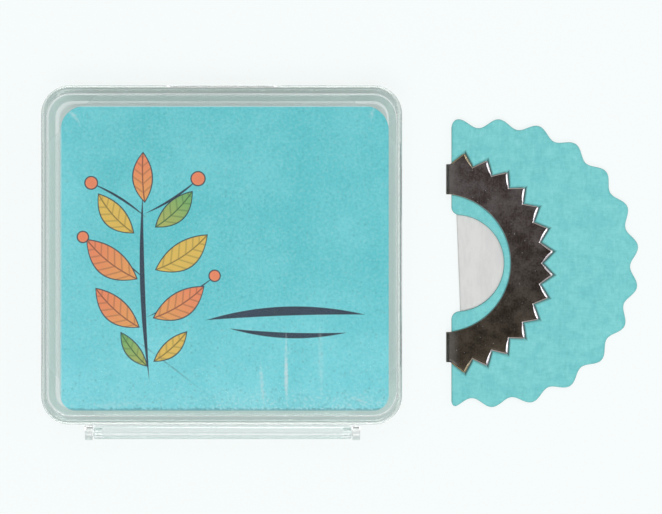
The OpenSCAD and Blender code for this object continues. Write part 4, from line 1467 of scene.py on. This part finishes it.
class BIRDCALL_OT_case(BirdCallOperator, bpy.types.Operator):
    """Makes the base and the lid of the clear case"""

    bl_idname = "birdcall.case"
    bl_label = "Clear Case"

    def execute(self, context):
        make_case_base(context.scene.birdcall_case)
        make_case_lid(context.scene.birdcall_case)
        return {"FINISHED"}


class BIRDCALL_OT_card(BirdCallOperator, bpy.types.Operator):
    """Makes the printed card under the lid"""

    bl_idname = "birdcall.card"
    bl_label = "Printed Card"

    def execute(self, context):
        make_card(context.scene.birdcall_card)
        return {"FINISHED"}


class BIRDCALL_OT_frame(BirdCallOperator, bpy.types.Operator):
    """Makes the folded metal frame with its teeth"""

    bl_idname = "birdcall.frame"
    bl_label = "Metal Frame"

    def execute(self, context):
        make_frame(context.scene.birdcall_frame)
        return {"FINISHED"}


class BIRDCALL_OT_skirt(BirdCallOperator, bpy.types.Operator):
    """Makes the two layers of the tape skirt"""

    bl_idname = "birdcall.skirt"
    bl_label = "Tape Skirt"

    def execute(self, context):
        scene = context.scene
        shared = (scene.birdcall_skirt, scene.birdcall_frame, scene.birdcall_film)
        make_skirt("tape_upper", "skirt_upper", 1, *shared)
        make_skirt("tape_lower", "skirt_lower", -1, *shared)
        return {"FINISHED"}


class BIRDCALL_OT_film(BirdCallOperator, bpy.types.Operator):
    """Makes the membrane"""

    bl_idname = "birdcall.film"
    bl_label = "Membrane"

    def execute(self, context):
        make_film(context.scene.birdcall_film, context.scene.birdcall_skirt)
        return {"FINISHED"}


OPERATORS = (
    BIRDCALL_OT_stage,
    BIRDCALL_OT_case,
    BIRDCALL_OT_card,
    BIRDCALL_OT_frame,
    BIRDCALL_OT_skirt,
    BIRDCALL_OT_film,
)
SETTINGS = {
    "birdcall_stage": StageSettings,
    "birdcall_case": CaseSettings,
    "birdcall_card": CardSettings,
    "birdcall_frame": FrameSettings,
    "birdcall_skirt": SkirtSettings,
    "birdcall_film": FilmSettings,
}


class BIRDCALL_PT_panel(bpy.types.Panel):
    """Lists the steps that make the bird call"""

    bl_idname = "BIRDCALL_PT_panel"
    bl_label = "Bird Call"
    bl_space_type = "VIEW_3D"
    bl_region_type = "UI"
    bl_category = "Bird Call"

    def draw(self, context):
        for operator in OPERATORS:
            self.layout.operator(operator.bl_idname)


def register():
    for kind in (*SETTINGS.values(), *OPERATORS, BIRDCALL_PT_panel):
        bpy.utils.register_class(kind)
    for name, kind in SETTINGS.items():
        setattr(bpy.types.Scene, name, PointerProperty(type=kind))


def unregister():
    for name in SETTINGS:
        delattr(bpy.types.Scene, name)
    for kind in (BIRDCALL_PT_panel, *reversed(OPERATORS), *reversed(SETTINGS.values())):
        bpy.utils.unregister_class(kind)


def main():
    """Makes every piece in order."""
    register()
    bpy.ops.birdcall.stage()
    bpy.ops.birdcall.case()
    bpy.ops.birdcall.card()
    bpy.ops.birdcall.frame()
    bpy.ops.birdcall.skirt()
    bpy.ops.birdcall.film()


if __name__ == "__main__":
    main()
